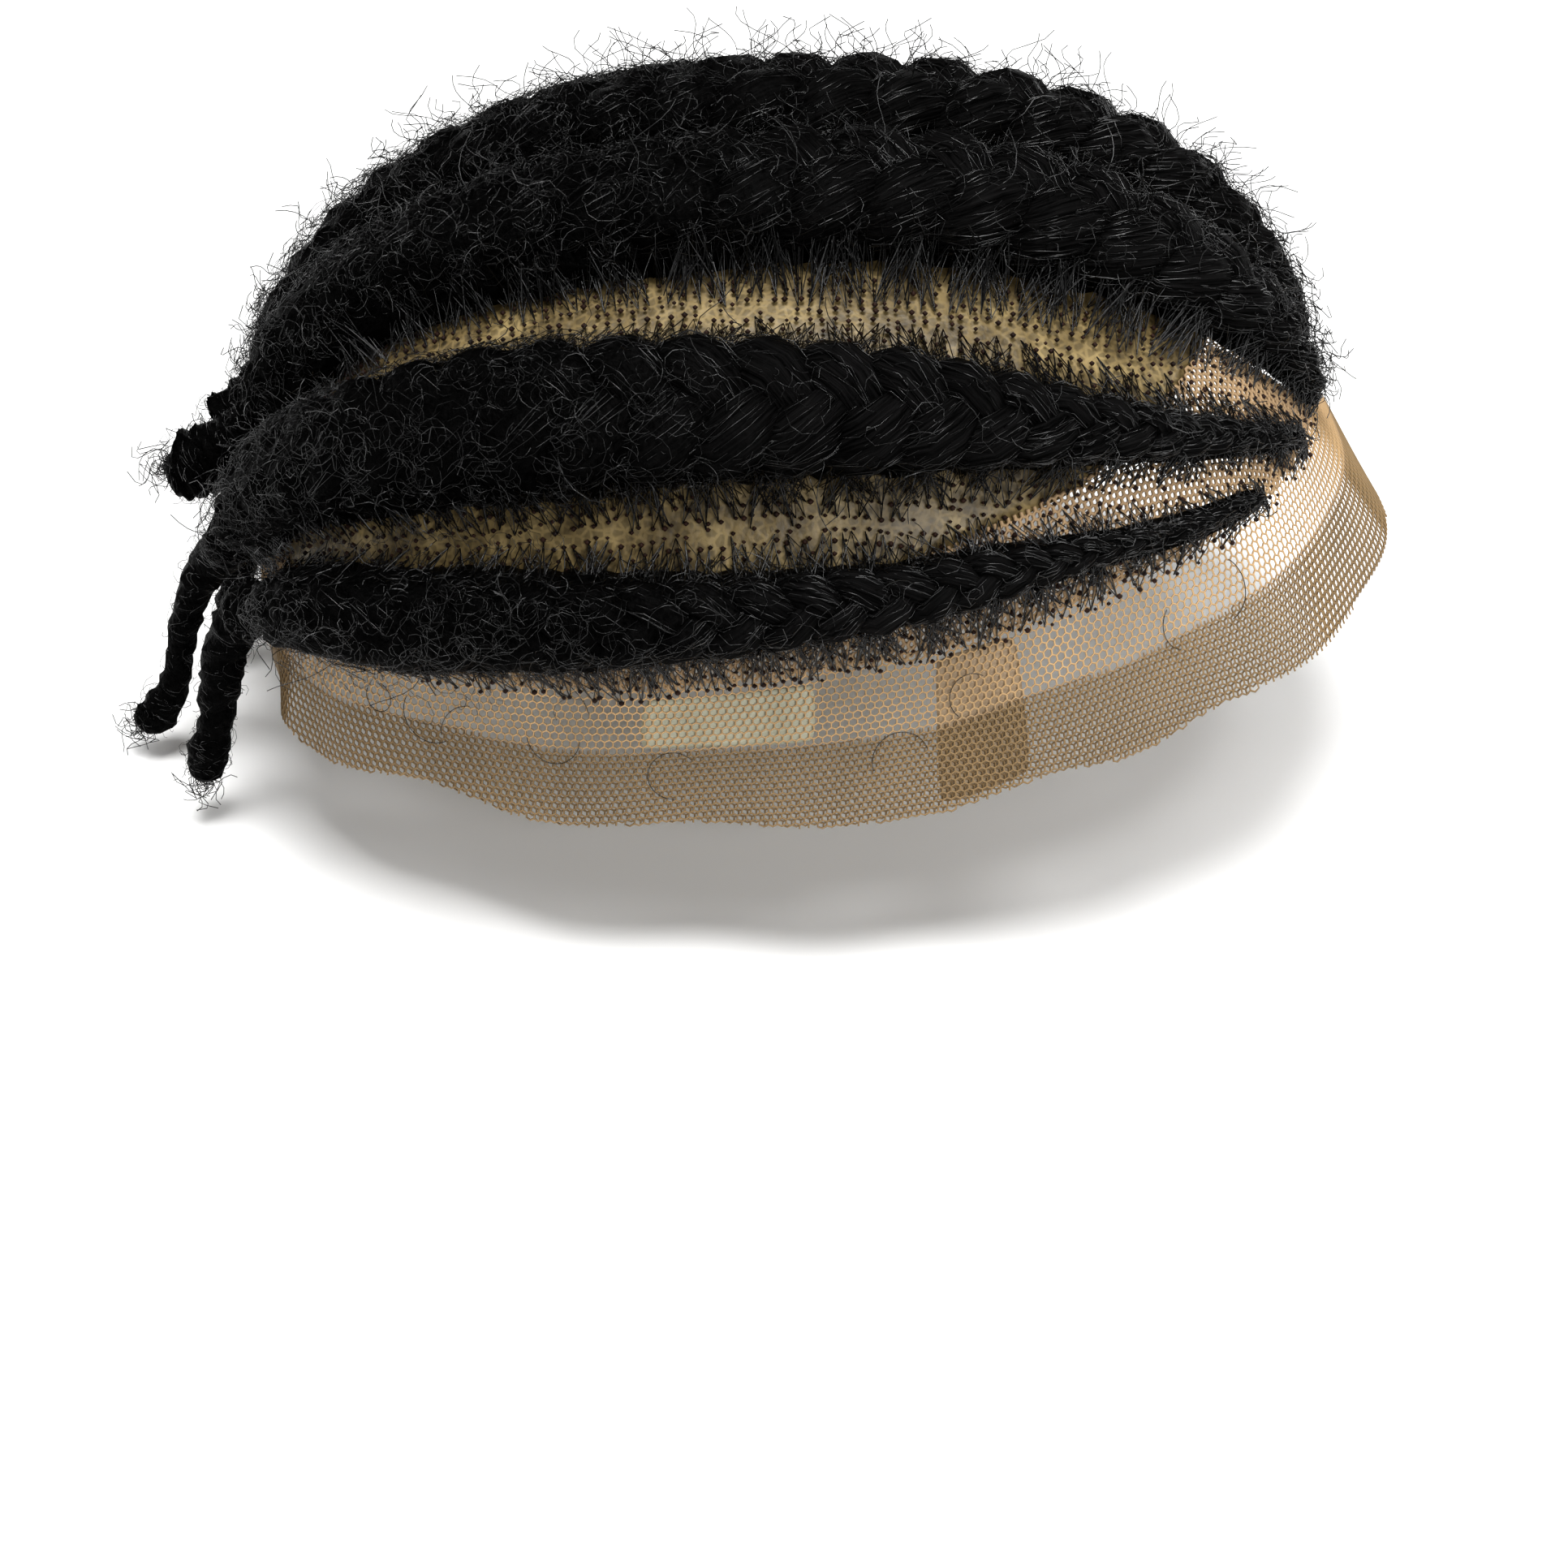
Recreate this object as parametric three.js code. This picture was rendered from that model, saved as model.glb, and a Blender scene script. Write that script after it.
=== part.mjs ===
// Cornrow hair system: a sheer lace cap, a golden film under its crown, six plaited rows of hair
// that run from the front hairline to the back, a free tail on each row and two tape tabs.
// Millimetres, +Z up, front towards -Y, the wearer's right towards -X.
// The origin is the top of the head, on the inside of the cap.

import * as THREE from 'three';
import { mergeVertices } from 'three/addons/utils/BufferGeometryUtils.js';

// Head form that the cap is shaped to: half-axes of a rounded dome
const HEAD_HALF_WIDTH = 76;
const HEAD_FRONT = 97;
const HEAD_BACK = 99;
const HEAD_HEIGHT = 87.5;
const HEAD_SQUARENESS = 2.45;

// Walls and clearances
const LACE_WALL = 1.0;
const FILM_WALL = 1.0;
const FILM_GAP = 0.6;
const TAB_WALL = 0.8;
const TAB_GAP = 0.35;
const HAIR_GAP = 0.3;
const WELD_DISTANCE = 1e-4;
const CROWN_INSIDE = HEAD_HEIGHT - LACE_WALL - FILM_GAP - FILM_WALL;

// Edges of the cap by azimuth, 0 at the front, 90 at the wearer's right and 180 at the back.
// hairline, hem and film are degrees down from the crown, flare is how far the hem stands off the dome.
const CAP_EDGES = [
  { azimuth: 0, hairline: 60, hem: 75, flare: 6.5, film: 45 },
  { azimuth: 22, hairline: 60, hem: 75, flare: 5, film: 45 },
  { azimuth: 42, hairline: 60, hem: 75.5, flare: 2.5, film: 47 },
  { azimuth: 52, hairline: 60, hem: 78, flare: 2.5, film: 49 },
  { azimuth: 63, hairline: 61, hem: 77.5, flare: 2, film: 50 },
  { azimuth: 75, hairline: 62.5, hem: 82, flare: 2, film: 52 },
  { azimuth: 90, hairline: 64, hem: 82.5, flare: 2, film: 56 },
  { azimuth: 107, hairline: 67, hem: 83.5, flare: 2, film: 60 },
  { azimuth: 125, hairline: 70, hem: 85, flare: 2, film: 66 },
  { azimuth: 136, hairline: 72, hem: 84.5, flare: 1.5, film: 69 },
  { azimuth: 150, hairline: 74, hem: 88, flare: 0.3, film: 71 },
  { azimuth: 156, hairline: 74.4, hem: 87.5, flare: 2.6, film: 71.4 },
  { azimuth: 164, hairline: 75, hem: 88, flare: -1.5, film: 72 },
  { azimuth: 180, hairline: 76, hem: 90, flare: -2.5, film: 73 },
];

// Hand-cut ripple of the hem on each side of the head
const HEM_RIPPLE = 1.1;
const RIPPLE_WAVES = { right: 13, left: 11 };
const FLARE_CURVE = 1.7;

// Facets of the cap: sectors round it, rings from crown to hairline and from hairline to hem
const CAP_SECTORS = 64;
const CROWN_RINGS = 8;
const BORDER_RINGS = 4;
const FILM_SECTORS = 40;
const FILM_RINGS = 6;

// Centre line and section of each row on the wearer's right, from the front hairline to the back.
// arch is degrees back from the crown, side is degrees out from the middle of the head.
const ROW_STATIONS = {
  outer: [
    { arch: -55.5, side: 25, halfWidth: 1.6, height: 2.2 },
    { arch: -50, side: 33, halfWidth: 2.4, height: 3.6 },
    { arch: -42, side: 40.5, halfWidth: 3.1, height: 5 },
    { arch: -30, side: 48, halfWidth: 4.2, height: 6.6 },
    { arch: -13, side: 54, halfWidth: 5.4, height: 8.5 },
    { arch: 15, side: 55.5, halfWidth: 6.4, height: 10 },
    { arch: 40, side: 50, halfWidth: 7.2, height: 11.5 },
    { arch: 58, side: 39.5, halfWidth: 7.6, height: 12 },
    { arch: 67, side: 30, halfWidth: 6.8, height: 11.5 },
    { arch: 73, side: 22.5, halfWidth: 5.5, height: 10.5 },
  ],
  middle: [
    { arch: -58, side: 14.5, halfWidth: 1.8, height: 2.6 },
    { arch: -48, side: 24, halfWidth: 4.2, height: 6 },
    { arch: -38, side: 30, halfWidth: 6.6, height: 9 },
    { arch: -26, side: 34, halfWidth: 8.6, height: 11 },
    { arch: -9, side: 36.5, halfWidth: 10.2, height: 13 },
    { arch: 10, side: 36, halfWidth: 11.5, height: 13.5 },
    { arch: 27, side: 33, halfWidth: 12.2, height: 13.5 },
    { arch: 44, side: 27, halfWidth: 11.5, height: 13.5 },
    { arch: 57, side: 20, halfWidth: 9, height: 13 },
    { arch: 66, side: 14.5, halfWidth: 7, height: 12 },
    { arch: 73, side: 10.5, halfWidth: 5.6, height: 11 },
  ],
  inner: [
    { arch: -60, side: 5, halfWidth: 2.6, height: 3 },
    { arch: -51, side: 8, halfWidth: 6.4, height: 8 },
    { arch: -40, side: 9.5, halfWidth: 10, height: 11 },
    { arch: -28, side: 10, halfWidth: 12.2, height: 12.5 },
    { arch: -10, side: 10, halfWidth: 13, height: 13.5 },
    { arch: 10, side: 10, halfWidth: 13, height: 14 },
    { arch: 30, side: 9, halfWidth: 11.8, height: 14 },
    { arch: 46, side: 6.5, halfWidth: 8.8, height: 14 },
    { arch: 56, side: 4.9, halfWidth: 7, height: 13 },
    { arch: 64, side: 4.2, halfWidth: 5.6, height: 12 },
  ],
};

// Plait of each row: length of one crossing, its depth against the section, and facets of the sweep
const PLAIT_PITCH = { outer: 10, middle: 11, inner: 12 };
const PLAIT_DEPTH = 0.14;
const PLAIT_SLANT = 1.1;
const LOBE_ONSET = 1.6;
const STATIONS_PER_PLAIT = 3;
const ROW_TOP_STEPS = 6;
const ROW_BASE_STEPS = 3;
const ROW_FULLNESS = 0.75;
const ARCH_STEP = 0.5;

// Free tails, drawn from the middle of the row's end: along is how far on in the row's own direction,
// down and back are how far it then drops and stands off behind the head.
const TAIL_ROUTES = {
  hanging: [
    { along: 0.3, down: 0, back: 0, radius: 5 },
    { along: 5, down: 0, back: 0, radius: 4.6 },
    { along: 8, down: 7, back: 3.4, radius: 3.9 },
    { along: 8, down: 15, back: 5.2, radius: 3.6 },
    { along: 8, down: 24, back: 7.3, radius: 3.1 },
    { along: 8, down: 31, back: 9.2, radius: 3.7 },
    { along: 8, down: 36, back: 10, radius: 2.3 },
  ],
  curled: [
    { along: 0.3, down: 0, back: 0, radius: 5.2 },
    { along: 5, down: 0, back: 0, radius: 4.4 },
    { along: 8.5, down: 6, back: 5.5, radius: 3.4 },
    { along: 8.5, down: 16, back: 9.2, radius: 2.7 },
    { along: 8.5, down: 26, back: 11.6, radius: 2.6 },
    { along: 8.5, down: 34, back: 15.5, radius: 3.6 },
    { along: 8.5, down: 37, back: 20, radius: 2.7 },
  ],
  balled: [
    { along: 0.3, down: 0, back: 0, radius: 5.2 },
    { along: 4, down: 0, back: 0, radius: 4.6 },
    { along: 7, down: 0.5, back: 2.5, radius: 5 },
    { along: 10, down: 1, back: 6, radius: 6 },
    { along: 11, down: 1.5, back: 9.5, radius: 5.6 },
    { along: 11, down: 1.5, back: 12.5, radius: 3 },
  ],
};
// Route of each tail and how much of the route's stand-off it keeps
const TAILS = {
  right_outer: { route: 'hanging', standOff: 1 },
  right_middle: { route: 'curled', standOff: 1 },
  right_inner: { route: 'balled', standOff: 1 },
  left_inner: { route: 'balled', standOff: 0.35 },
  left_middle: { route: 'hanging', standOff: 0.6 },
  left_outer: { route: 'hanging', standOff: 0.8 },
};
const TAIL_SIDES = 8;
const TAIL_STEPS = 11;

// Tape tabs under the lace border: azimuth and border share, 0 at the hairline and 1 at the hem
const TABS = {
  side: { from: 90, to: 111, top: 0.05, bottom: 0.42 },
  temple: { from: 65, to: 75, top: 0.02, bottom: 0.95 },
};
const TAB_ACROSS = 4;
const TAB_DOWN = 3;

const laceMaterial = new THREE.MeshStandardMaterial({ color: '#b89f7c', roughness: 0.75, metalness: 0 });
const filmMaterial = new THREE.MeshStandardMaterial({ color: '#a98f55', roughness: 0.4, metalness: 0 });
const hairMaterial = new THREE.MeshStandardMaterial({ color: '#121112', roughness: 0.55, metalness: 0 });
const paleTabMaterial = new THREE.MeshStandardMaterial({ color: '#b9bda6', roughness: 0.6, metalness: 0 });
const brownTabMaterial = new THREE.MeshStandardMaterial({ color: '#9c7f58', roughness: 0.6, metalness: 0 });

const radians = THREE.MathUtils.degToRad;
const smooth = (share) => share * share * (3 - 2 * share);

// Smooth value of one column of a table at a place along its key column
function tableValue(table, key, column, place) {
  const last = table.length - 1;
  let row = 0;
  while (row < last - 1 && table[row + 1][key] < place) row += 1;
  const at = (index) => table[THREE.MathUtils.clamp(index, 0, last)];
  const slope = (index) => {
    const before = at(index - 1);
    const after = at(index + 1);
    return (after[column] - before[column]) / (after[key] - before[key]);
  };
  const span = at(row + 1)[key] - at(row)[key];
  const share = THREE.MathUtils.clamp((place - at(row)[key]) / span, 0, 1);
  const rise = at(row + 1)[column] - at(row)[column];
  const ease = share * (1 - share);
  return at(row)[column] + rise * smooth(share)
    + ease * (1 - share) * span * slope(row)
    - ease * share * span * slope(row + 1);
}

// Point of the dome along a direction, moved out along the dome's normal
function domePoint(direction, lift) {
  const depth = direction.y < 0 ? HEAD_FRONT : HEAD_BACK;
  const axes = [HEAD_HALF_WIDTH, depth, HEAD_HEIGHT];
  const parts = direction.toArray().map((value, index) => Math.abs(value) / axes[index]);
  const sum = parts.reduce((total, part) => total + part ** HEAD_SQUARENESS, 0);
  const point = direction.clone().multiplyScalar(sum ** (-1 / HEAD_SQUARENESS));
  const slope = parts.map((part, index) => {
    const sign = Math.sign(direction.getComponent(index));
    return sign * part ** (HEAD_SQUARENESS - 1) / axes[index];
  });
  const normal = new THREE.Vector3(...slope).normalize();
  return { point: point.addScaledVector(normal, lift), normal };
}

// Direction by degrees down from the crown and azimuth round from the front
function polarDirection(azimuth, down) {
  const ring = Math.sin(radians(down));
  return new THREE.Vector3(
    -ring * Math.sin(radians(azimuth)),
    -ring * Math.cos(radians(azimuth)),
    Math.cos(radians(down)),
  );
}

// Value of a cap edge column at any azimuth: the table covers one side and the other mirrors it
function capEdge(column, azimuth) {
  const turn = ((azimuth % 360) + 360) % 360;
  const place = turn > 180 ? 360 - turn : turn;
  return tableValue(CAP_EDGES, 'azimuth', column, place);
}

// Cap surface: share 0 to 1 runs from the crown to the hairline, 1 to 2 from the hairline to the hem
function capPoint(azimuth, share, lift) {
  const hairline = capEdge('hairline', azimuth);
  if (share <= 1) {
    return domePoint(polarDirection(azimuth, hairline * share), lift).point;
  }
  const border = share - 1;
  const turn = ((azimuth % 360) + 360) % 360;
  const waves = turn > 180 ? RIPPLE_WAVES.left : RIPPLE_WAVES.right;
  const ripple = HEM_RIPPLE * Math.sin(radians(turn) * waves) * border;
  const down = hairline + (capEdge('hem', azimuth) - hairline) * border;
  const point = domePoint(polarDirection(azimuth, down), lift).point;
  const outward = polarDirection(azimuth, 90);
  return point.addScaledVector(outward, capEdge('flare', azimuth) * border ** FLARE_CURVE + ripple);
}

// Closed solid from triangles of points
function solidGeometry(points, triangles) {
  const geometry = new THREE.BufferGeometry();
  const positions = points.flatMap((point) => point.toArray());
  geometry.setAttribute('position', new THREE.Float32BufferAttribute(positions, 3));
  geometry.setIndex(triangles.flat());
  const merged = mergeVertices(geometry, WELD_DISTANCE);
  merged.computeVertexNormals();
  return merged;
}

// Bowl-shaped wall from an outer and an inner skin, each a crown point and rings down to the rim
function bowlGeometry(sectors, rings, outerPoint, innerPoint) {
  const points = [];
  const triangles = [];
  const addSkin = (skinPoint, facesOut) => {
    const crown = points.length;
    const put = (a, b, c) => triangles.push(facesOut ? [a, b, c] : [a, c, b]);
    points.push(skinPoint(0, 0));
    const ringStart = (ring) => crown + 1 + (ring - 1) * sectors;
    for (let ring = 1; ring <= rings; ring += 1) {
      for (let sector = 0; sector < sectors; sector += 1) {
        points.push(skinPoint((360 * sector) / sectors, ring / rings));
        const next = (sector + 1) % sectors;
        const lower = ringStart(ring);
        if (ring === 1) {
          put(crown, lower + next, lower + sector);
        } else {
          const upper = ringStart(ring - 1);
          put(upper + sector, upper + next, lower + next);
          put(upper + sector, lower + next, lower + sector);
        }
      }
    }
    return ringStart(rings);
  };
  const outerRim = addSkin(outerPoint, true);
  const innerRim = addSkin(innerPoint, false);
  for (let sector = 0; sector < sectors; sector += 1) {
    const next = (sector + 1) % sectors;
    triangles.push([outerRim + sector, outerRim + next, innerRim + next]);
    triangles.push([outerRim + sector, innerRim + next, innerRim + sector]);
  }
  return solidGeometry(points, triangles);
}

// Swept solid through closed sections with the same number of points, with a fan on each end
function sweptGeometry(sections) {
  const count = sections[0].length;
  const points = sections.flat();
  const triangles = [];
  for (let step = 0; step < sections.length - 1; step += 1) {
    for (let index = 0; index < count; index += 1) {
      const next = (index + 1) % count;
      const here = step * count;
      const ahead = here + count;
      triangles.push([here + index, here + next, ahead + next]);
      triangles.push([here + index, ahead + next, ahead + index]);
    }
  }
  const addEnd = (section, start, facesBack) => {
    const centre = new THREE.Vector3();
    section.forEach((point) => centre.addScaledVector(point, 1 / count));
    const middle = points.push(centre) - 1;
    for (let index = 0; index < count; index += 1) {
      const next = (index + 1) % count;
      const fan = [middle, start + next, start + index];
      triangles.push(facesBack ? fan : fan.reverse());
    }
  };
  addEnd(sections[0], 0, true);
  addEnd(sections[sections.length - 1], (sections.length - 1) * count, false);
  return solidGeometry(points, triangles);
}

function laceGeometry() {
  const rings = CROWN_RINGS + BORDER_RINGS;
  const share = (fall) => {
    const ring = fall * rings;
    return ring <= CROWN_RINGS ? ring / CROWN_RINGS : 1 + (ring - CROWN_RINGS) / BORDER_RINGS;
  };
  return bowlGeometry(
    CAP_SECTORS,
    rings,
    (azimuth, fall) => capPoint(azimuth, share(fall), 0),
    (azimuth, fall) => capPoint(azimuth, share(fall), -LACE_WALL),
  );
}

function filmGeometry() {
  const filmPoint = (azimuth, fall, lift) => {
    const down = capEdge('film', azimuth) * fall;
    return domePoint(polarDirection(azimuth, down), lift).point;
  };
  const outerLift = -LACE_WALL - FILM_GAP;
  return bowlGeometry(
    FILM_SECTORS,
    FILM_RINGS,
    (azimuth, fall) => filmPoint(azimuth, fall, outerLift),
    (azimuth, fall) => filmPoint(azimuth, fall, outerLift - FILM_WALL),
  );
}

// Direction of a row's centre line at a place along its arch; hand is -1 on the wearer's right, 1 on the left
function rowDirection(stations, hand, arch) {
  const side = radians(tableValue(stations, 'arch', 'side', arch));
  return new THREE.Vector3(
    hand * Math.sin(side),
    Math.cos(side) * Math.sin(radians(arch)),
    Math.cos(side) * Math.cos(radians(arch)),
  );
}

// Row laid on the cap: its base follows the lace, its crown is plaited with lobes that alternate side to side
function rowGeometry(name, hand) {
  const stations = ROW_STATIONS[name];
  const pitch = PLAIT_PITCH[name];
  const firstArch = stations[0].arch;
  const lastArch = stations[stations.length - 1].arch;
  const archLength = radians(lastArch - firstArch) * (HEAD_FRONT + HEAD_BACK) / 2;
  const steps = Math.round((archLength / pitch) * STATIONS_PER_PLAIT);
  const sections = [];
  for (let step = 0; step <= steps; step += 1) {
    const share = step / steps;
    const arch = firstArch + (lastArch - firstArch) * share;
    const { point: seat, normal } = domePoint(rowDirection(stations, hand, arch), HAIR_GAP);
    const behind = domePoint(rowDirection(stations, hand, arch - ARCH_STEP), HAIR_GAP).point;
    const across = normal.clone().cross(seat.clone().sub(behind)).normalize();
    const halfWidth = tableValue(stations, 'arch', 'halfWidth', arch);
    const height = tableValue(stations, 'arch', 'height', arch);
    const onCap = (offset, lift) => {
      const flat = seat.clone().addScaledVector(across, offset);
      return domePoint(flat.normalize(), HAIR_GAP + lift).point;
    };
    const section = [];
    for (let index = 0; index <= ROW_TOP_STEPS; index += 1) {
      const angle = (Math.PI * index) / ROW_TOP_STEPS;
      const lean = Math.cos(angle);
      const turn = (2 * Math.PI * share * archLength) / pitch + PLAIT_SLANT * Math.abs(lean);
      const lobe = Math.sin(turn + (lean < 0 ? Math.PI : 0)) * Math.min(1, LOBE_ONSET * Math.abs(lean));
      const swell = 1 + PLAIT_DEPTH * lobe;
      const lift = height * Math.sin(angle) ** ROW_FULLNESS;
      section.push(onCap(halfWidth * lean * swell, lift * swell));
    }
    for (let index = 1; index < ROW_BASE_STEPS; index += 1) {
      section.push(onCap(halfWidth * (-1 + (2 * index) / ROW_BASE_STEPS), 0));
    }
    sections.push(section);
  }
  return sweptGeometry(sections);
}

// Where a row ends at the back: the middle of its end section, half its height above the lace, and its heading
function rowEnd(name, hand) {
  const stations = ROW_STATIONS[name];
  const last = stations[stations.length - 1];
  const place = (arch) => domePoint(rowDirection(stations, hand, arch), last.height / 2).point;
  const middle = place(last.arch);
  const heading = middle.clone().sub(place(last.arch - ARCH_STEP)).normalize();
  return { middle, heading };
}

// Free tail: a round plait swept along its route, swelling to a ball near its end
function tailGeometry(side, name, hand) {
  const { middle, heading } = rowEnd(name, hand);
  const tail = TAILS[`${side}_${name}`];
  const route = TAIL_ROUTES[tail.route];
  const curve = new THREE.CatmullRomCurve3(route.map((place) => {
    const point = middle.clone().addScaledVector(heading, place.along);
    return point.add(new THREE.Vector3(0, place.back * tail.standOff, -place.down));
  }));
  const radii = new THREE.SplineCurve(route.map((place, index) => new THREE.Vector2(index, place.radius)));
  const sections = [];
  for (let step = 0; step <= TAIL_STEPS; step += 1) {
    const share = step / TAIL_STEPS;
    const centre = curve.getPoint(share);
    const along = curve.getTangent(share);
    const outward = new THREE.Vector3(1, 0, 0).cross(along).normalize();
    const across = along.clone().cross(outward);
    const radius = radii.getPoint(share).y;
    const section = [];
    for (let index = 0; index < TAIL_SIDES; index += 1) {
      const angle = (2 * Math.PI * index) / TAIL_SIDES;
      section.push(centre.clone()
        .addScaledVector(outward, radius * Math.cos(angle))
        .addScaledVector(across, radius * Math.sin(angle)));
    }
    sections.push(section);
  }
  return sweptGeometry(sections);
}

// Tape tab: a small plate that follows the inside of the lace border
function tabGeometry(tab) {
  const place = (across, down, lift) => {
    const azimuth = tab.to + (tab.from - tab.to) * across;
    return capPoint(azimuth, 1 + tab.top + (tab.bottom - tab.top) * down, lift);
  };
  const outer = -LACE_WALL - TAB_GAP;
  const sections = [];
  for (let column = 0; column <= TAB_ACROSS; column += 1) {
    const section = [];
    for (let row = 0; row <= TAB_DOWN; row += 1) {
      section.push(place(column / TAB_ACROSS, row / TAB_DOWN, outer));
    }
    for (let row = TAB_DOWN; row >= 0; row -= 1) {
      section.push(place(column / TAB_ACROSS, row / TAB_DOWN, outer - TAB_WALL));
    }
    sections.push(section);
  }
  return sweptGeometry(sections);
}

const group = new THREE.Group();
const headCentre = new THREE.Group();
headCentre.position.z = -CROWN_INSIDE;
group.add(headCentre);

function addPiece(name, geometry, material) {
  const mesh = new THREE.Mesh(geometry, material);
  mesh.name = name;
  headCentre.add(mesh);
}

addPiece('lace_base', laceGeometry(), laceMaterial);
addPiece('crown_film', filmGeometry(), filmMaterial);
for (const [side, hand] of [['right', -1], ['left', 1]]) {
  for (const name of ['outer', 'middle', 'inner']) {
    addPiece(`cornrow_${side}_${name}`, rowGeometry(name, hand), hairMaterial);
    addPiece(`braid_tail_${side}_${name}`, tailGeometry(side, name, hand), hairMaterial);
  }
}
addPiece('tape_tab_side', tabGeometry(TABS.side), paleTabMaterial);
addPiece('tape_tab_temple', tabGeometry(TABS.temple), brownTabMaterial);

export default group;
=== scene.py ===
import math

import bpy
import numpy as np
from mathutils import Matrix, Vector


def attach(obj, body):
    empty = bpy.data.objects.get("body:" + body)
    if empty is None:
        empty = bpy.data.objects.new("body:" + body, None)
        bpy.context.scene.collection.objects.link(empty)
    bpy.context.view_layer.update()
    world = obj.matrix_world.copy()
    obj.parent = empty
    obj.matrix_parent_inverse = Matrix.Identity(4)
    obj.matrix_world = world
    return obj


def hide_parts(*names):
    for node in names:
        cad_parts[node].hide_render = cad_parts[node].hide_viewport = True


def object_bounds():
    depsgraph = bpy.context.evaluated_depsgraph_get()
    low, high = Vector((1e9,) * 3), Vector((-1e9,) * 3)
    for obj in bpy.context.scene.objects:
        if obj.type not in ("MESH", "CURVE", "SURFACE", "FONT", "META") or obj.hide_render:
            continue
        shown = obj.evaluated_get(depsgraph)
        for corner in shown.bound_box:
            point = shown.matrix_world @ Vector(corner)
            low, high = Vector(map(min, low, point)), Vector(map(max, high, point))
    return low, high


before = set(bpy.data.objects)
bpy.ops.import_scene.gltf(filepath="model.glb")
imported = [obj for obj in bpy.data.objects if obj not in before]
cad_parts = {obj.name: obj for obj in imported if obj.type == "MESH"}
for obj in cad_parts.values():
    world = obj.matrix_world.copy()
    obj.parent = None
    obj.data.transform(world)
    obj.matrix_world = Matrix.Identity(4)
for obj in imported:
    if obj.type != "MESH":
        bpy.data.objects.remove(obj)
cadBox = [list(corner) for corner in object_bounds()]
print("frame loaded, CAD box", cadBox)

# Lengths are millimetres from the dome's centre, with the front towards -Y and the right side towards -X.
mm = 0.001
domeForm = {
    "halfWidth": 76.0,
    "front": 97.0,
    "back": 99.0,
    "height": 87.5,
    "squareness": 2.45,
    "crownInside": 84.9,  # from the dome's centre up to the part's origin
}
capEdges = {  # degrees down from the crown by azimuth, 0 at the front and 90 at the right
    "azimuth": [0, 22, 42, 52, 63, 75, 90, 107, 125, 136, 150, 156, 164, 180],
    "hairline": [60, 60, 60, 60, 61, 62.5, 64, 67, 70, 72, 74, 74.4, 75, 76],
    "hem": [75, 75, 75.5, 78, 77.5, 82, 82.5, 83.5, 85, 84.5, 88, 87.5, 88, 90],
    "flare": [6.5, 5, 2.5, 2.5, 2, 2, 2, 2, 2, 1.5, 0.3, 2.6, -1.5, -2.5],  # millimetres off the dome
    "film": [45, 45, 47, 49, 50, 52, 56, 60, 66, 69, 71, 71.4, 72, 73],
}
hemRipple = {"depth": 1.1, "rightWaves": 13, "leftWaves": 11, "flareCurve": 1.7, "limit": 1.2}
hairGap = 0.3  # between the dome and the hair on it

rowStations = {  # centre line and section of each row: arch is degrees back from the crown, side degrees out
    "outer": {
        "arch": [-55.5, -50, -42, -30, -13, 15, 40, 58, 67, 73],
        "side": [25, 33, 40.5, 48, 54, 55.5, 50, 39.5, 30, 22.5],
        "halfWidth": [1.6, 2.4, 3.1, 4.2, 5.4, 6.4, 7.2, 7.6, 6.8, 5.5],
        "height": [2.2, 3.6, 5, 6.6, 8.5, 10, 11.5, 12, 11.5, 10.5],
    },
    "middle": {
        "arch": [-58, -48, -38, -26, -9, 10, 27, 44, 57, 66, 73],
        "side": [14.5, 24, 30, 34, 36.5, 36, 33, 27, 20, 14.5, 10.5],
        "halfWidth": [1.8, 4.2, 6.6, 8.6, 10.2, 11.5, 12.2, 11.5, 9, 7, 5.6],
        "height": [2.6, 6, 9, 11, 13, 13.5, 13.5, 13.5, 13, 12, 11],
    },
    "inner": {
        "arch": [-60, -51, -40, -28, -10, 10, 30, 46, 56, 64],
        "side": [5, 8, 9.5, 10, 10, 10, 9, 6.5, 4.9, 4.2],
        "halfWidth": [2.6, 6.4, 10, 12.2, 13, 13, 11.8, 8.8, 7, 5.6],
        "height": [3, 8, 11, 12.5, 13.5, 14, 14, 14, 13, 12],
    },
}
hands = {"right": -1, "left": 1}


def blend(low, high, share):
    return low + (high - low) * share


def smoothStep(low, high, values):
    share = np.clip((np.asarray(values, float) - low) / (high - low), 0, 1)
    return share * share * (3 - 2 * share)


def unit(vectors):
    return vectors / np.linalg.norm(vectors, axis=-1, keepdims=True)


def pathLength(points):  # distance along a path at each of its points
    return np.concatenate([[0], np.cumsum(np.linalg.norm(np.diff(points, axis=0), axis=1))])


def tableValue(table, key, column, places):  # smooth curve through a table's values
    keys = np.array(table[key], float)
    values = np.array(table[column], float)
    slopes = np.empty_like(values)
    slopes[1:-1] = (values[2:] - values[:-2]) / (keys[2:] - keys[:-2])
    slopes[[0, -1]] = np.diff(values)[[0, -1]] / np.diff(keys)[[0, -1]]
    places = np.asarray(places, float)
    row = np.clip(np.searchsorted(keys, places) - 1, 0, len(keys) - 2)
    span = keys[row + 1] - keys[row]
    share = np.clip((places - keys[row]) / span, 0, 1)
    ease = share * (1 - share)
    rise = (values[row + 1] - values[row]) * share * share * (3 - 2 * share)
    return values[row] + rise + span * ease * ((1 - share) * slopes[row] - share * slopes[row + 1])


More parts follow.
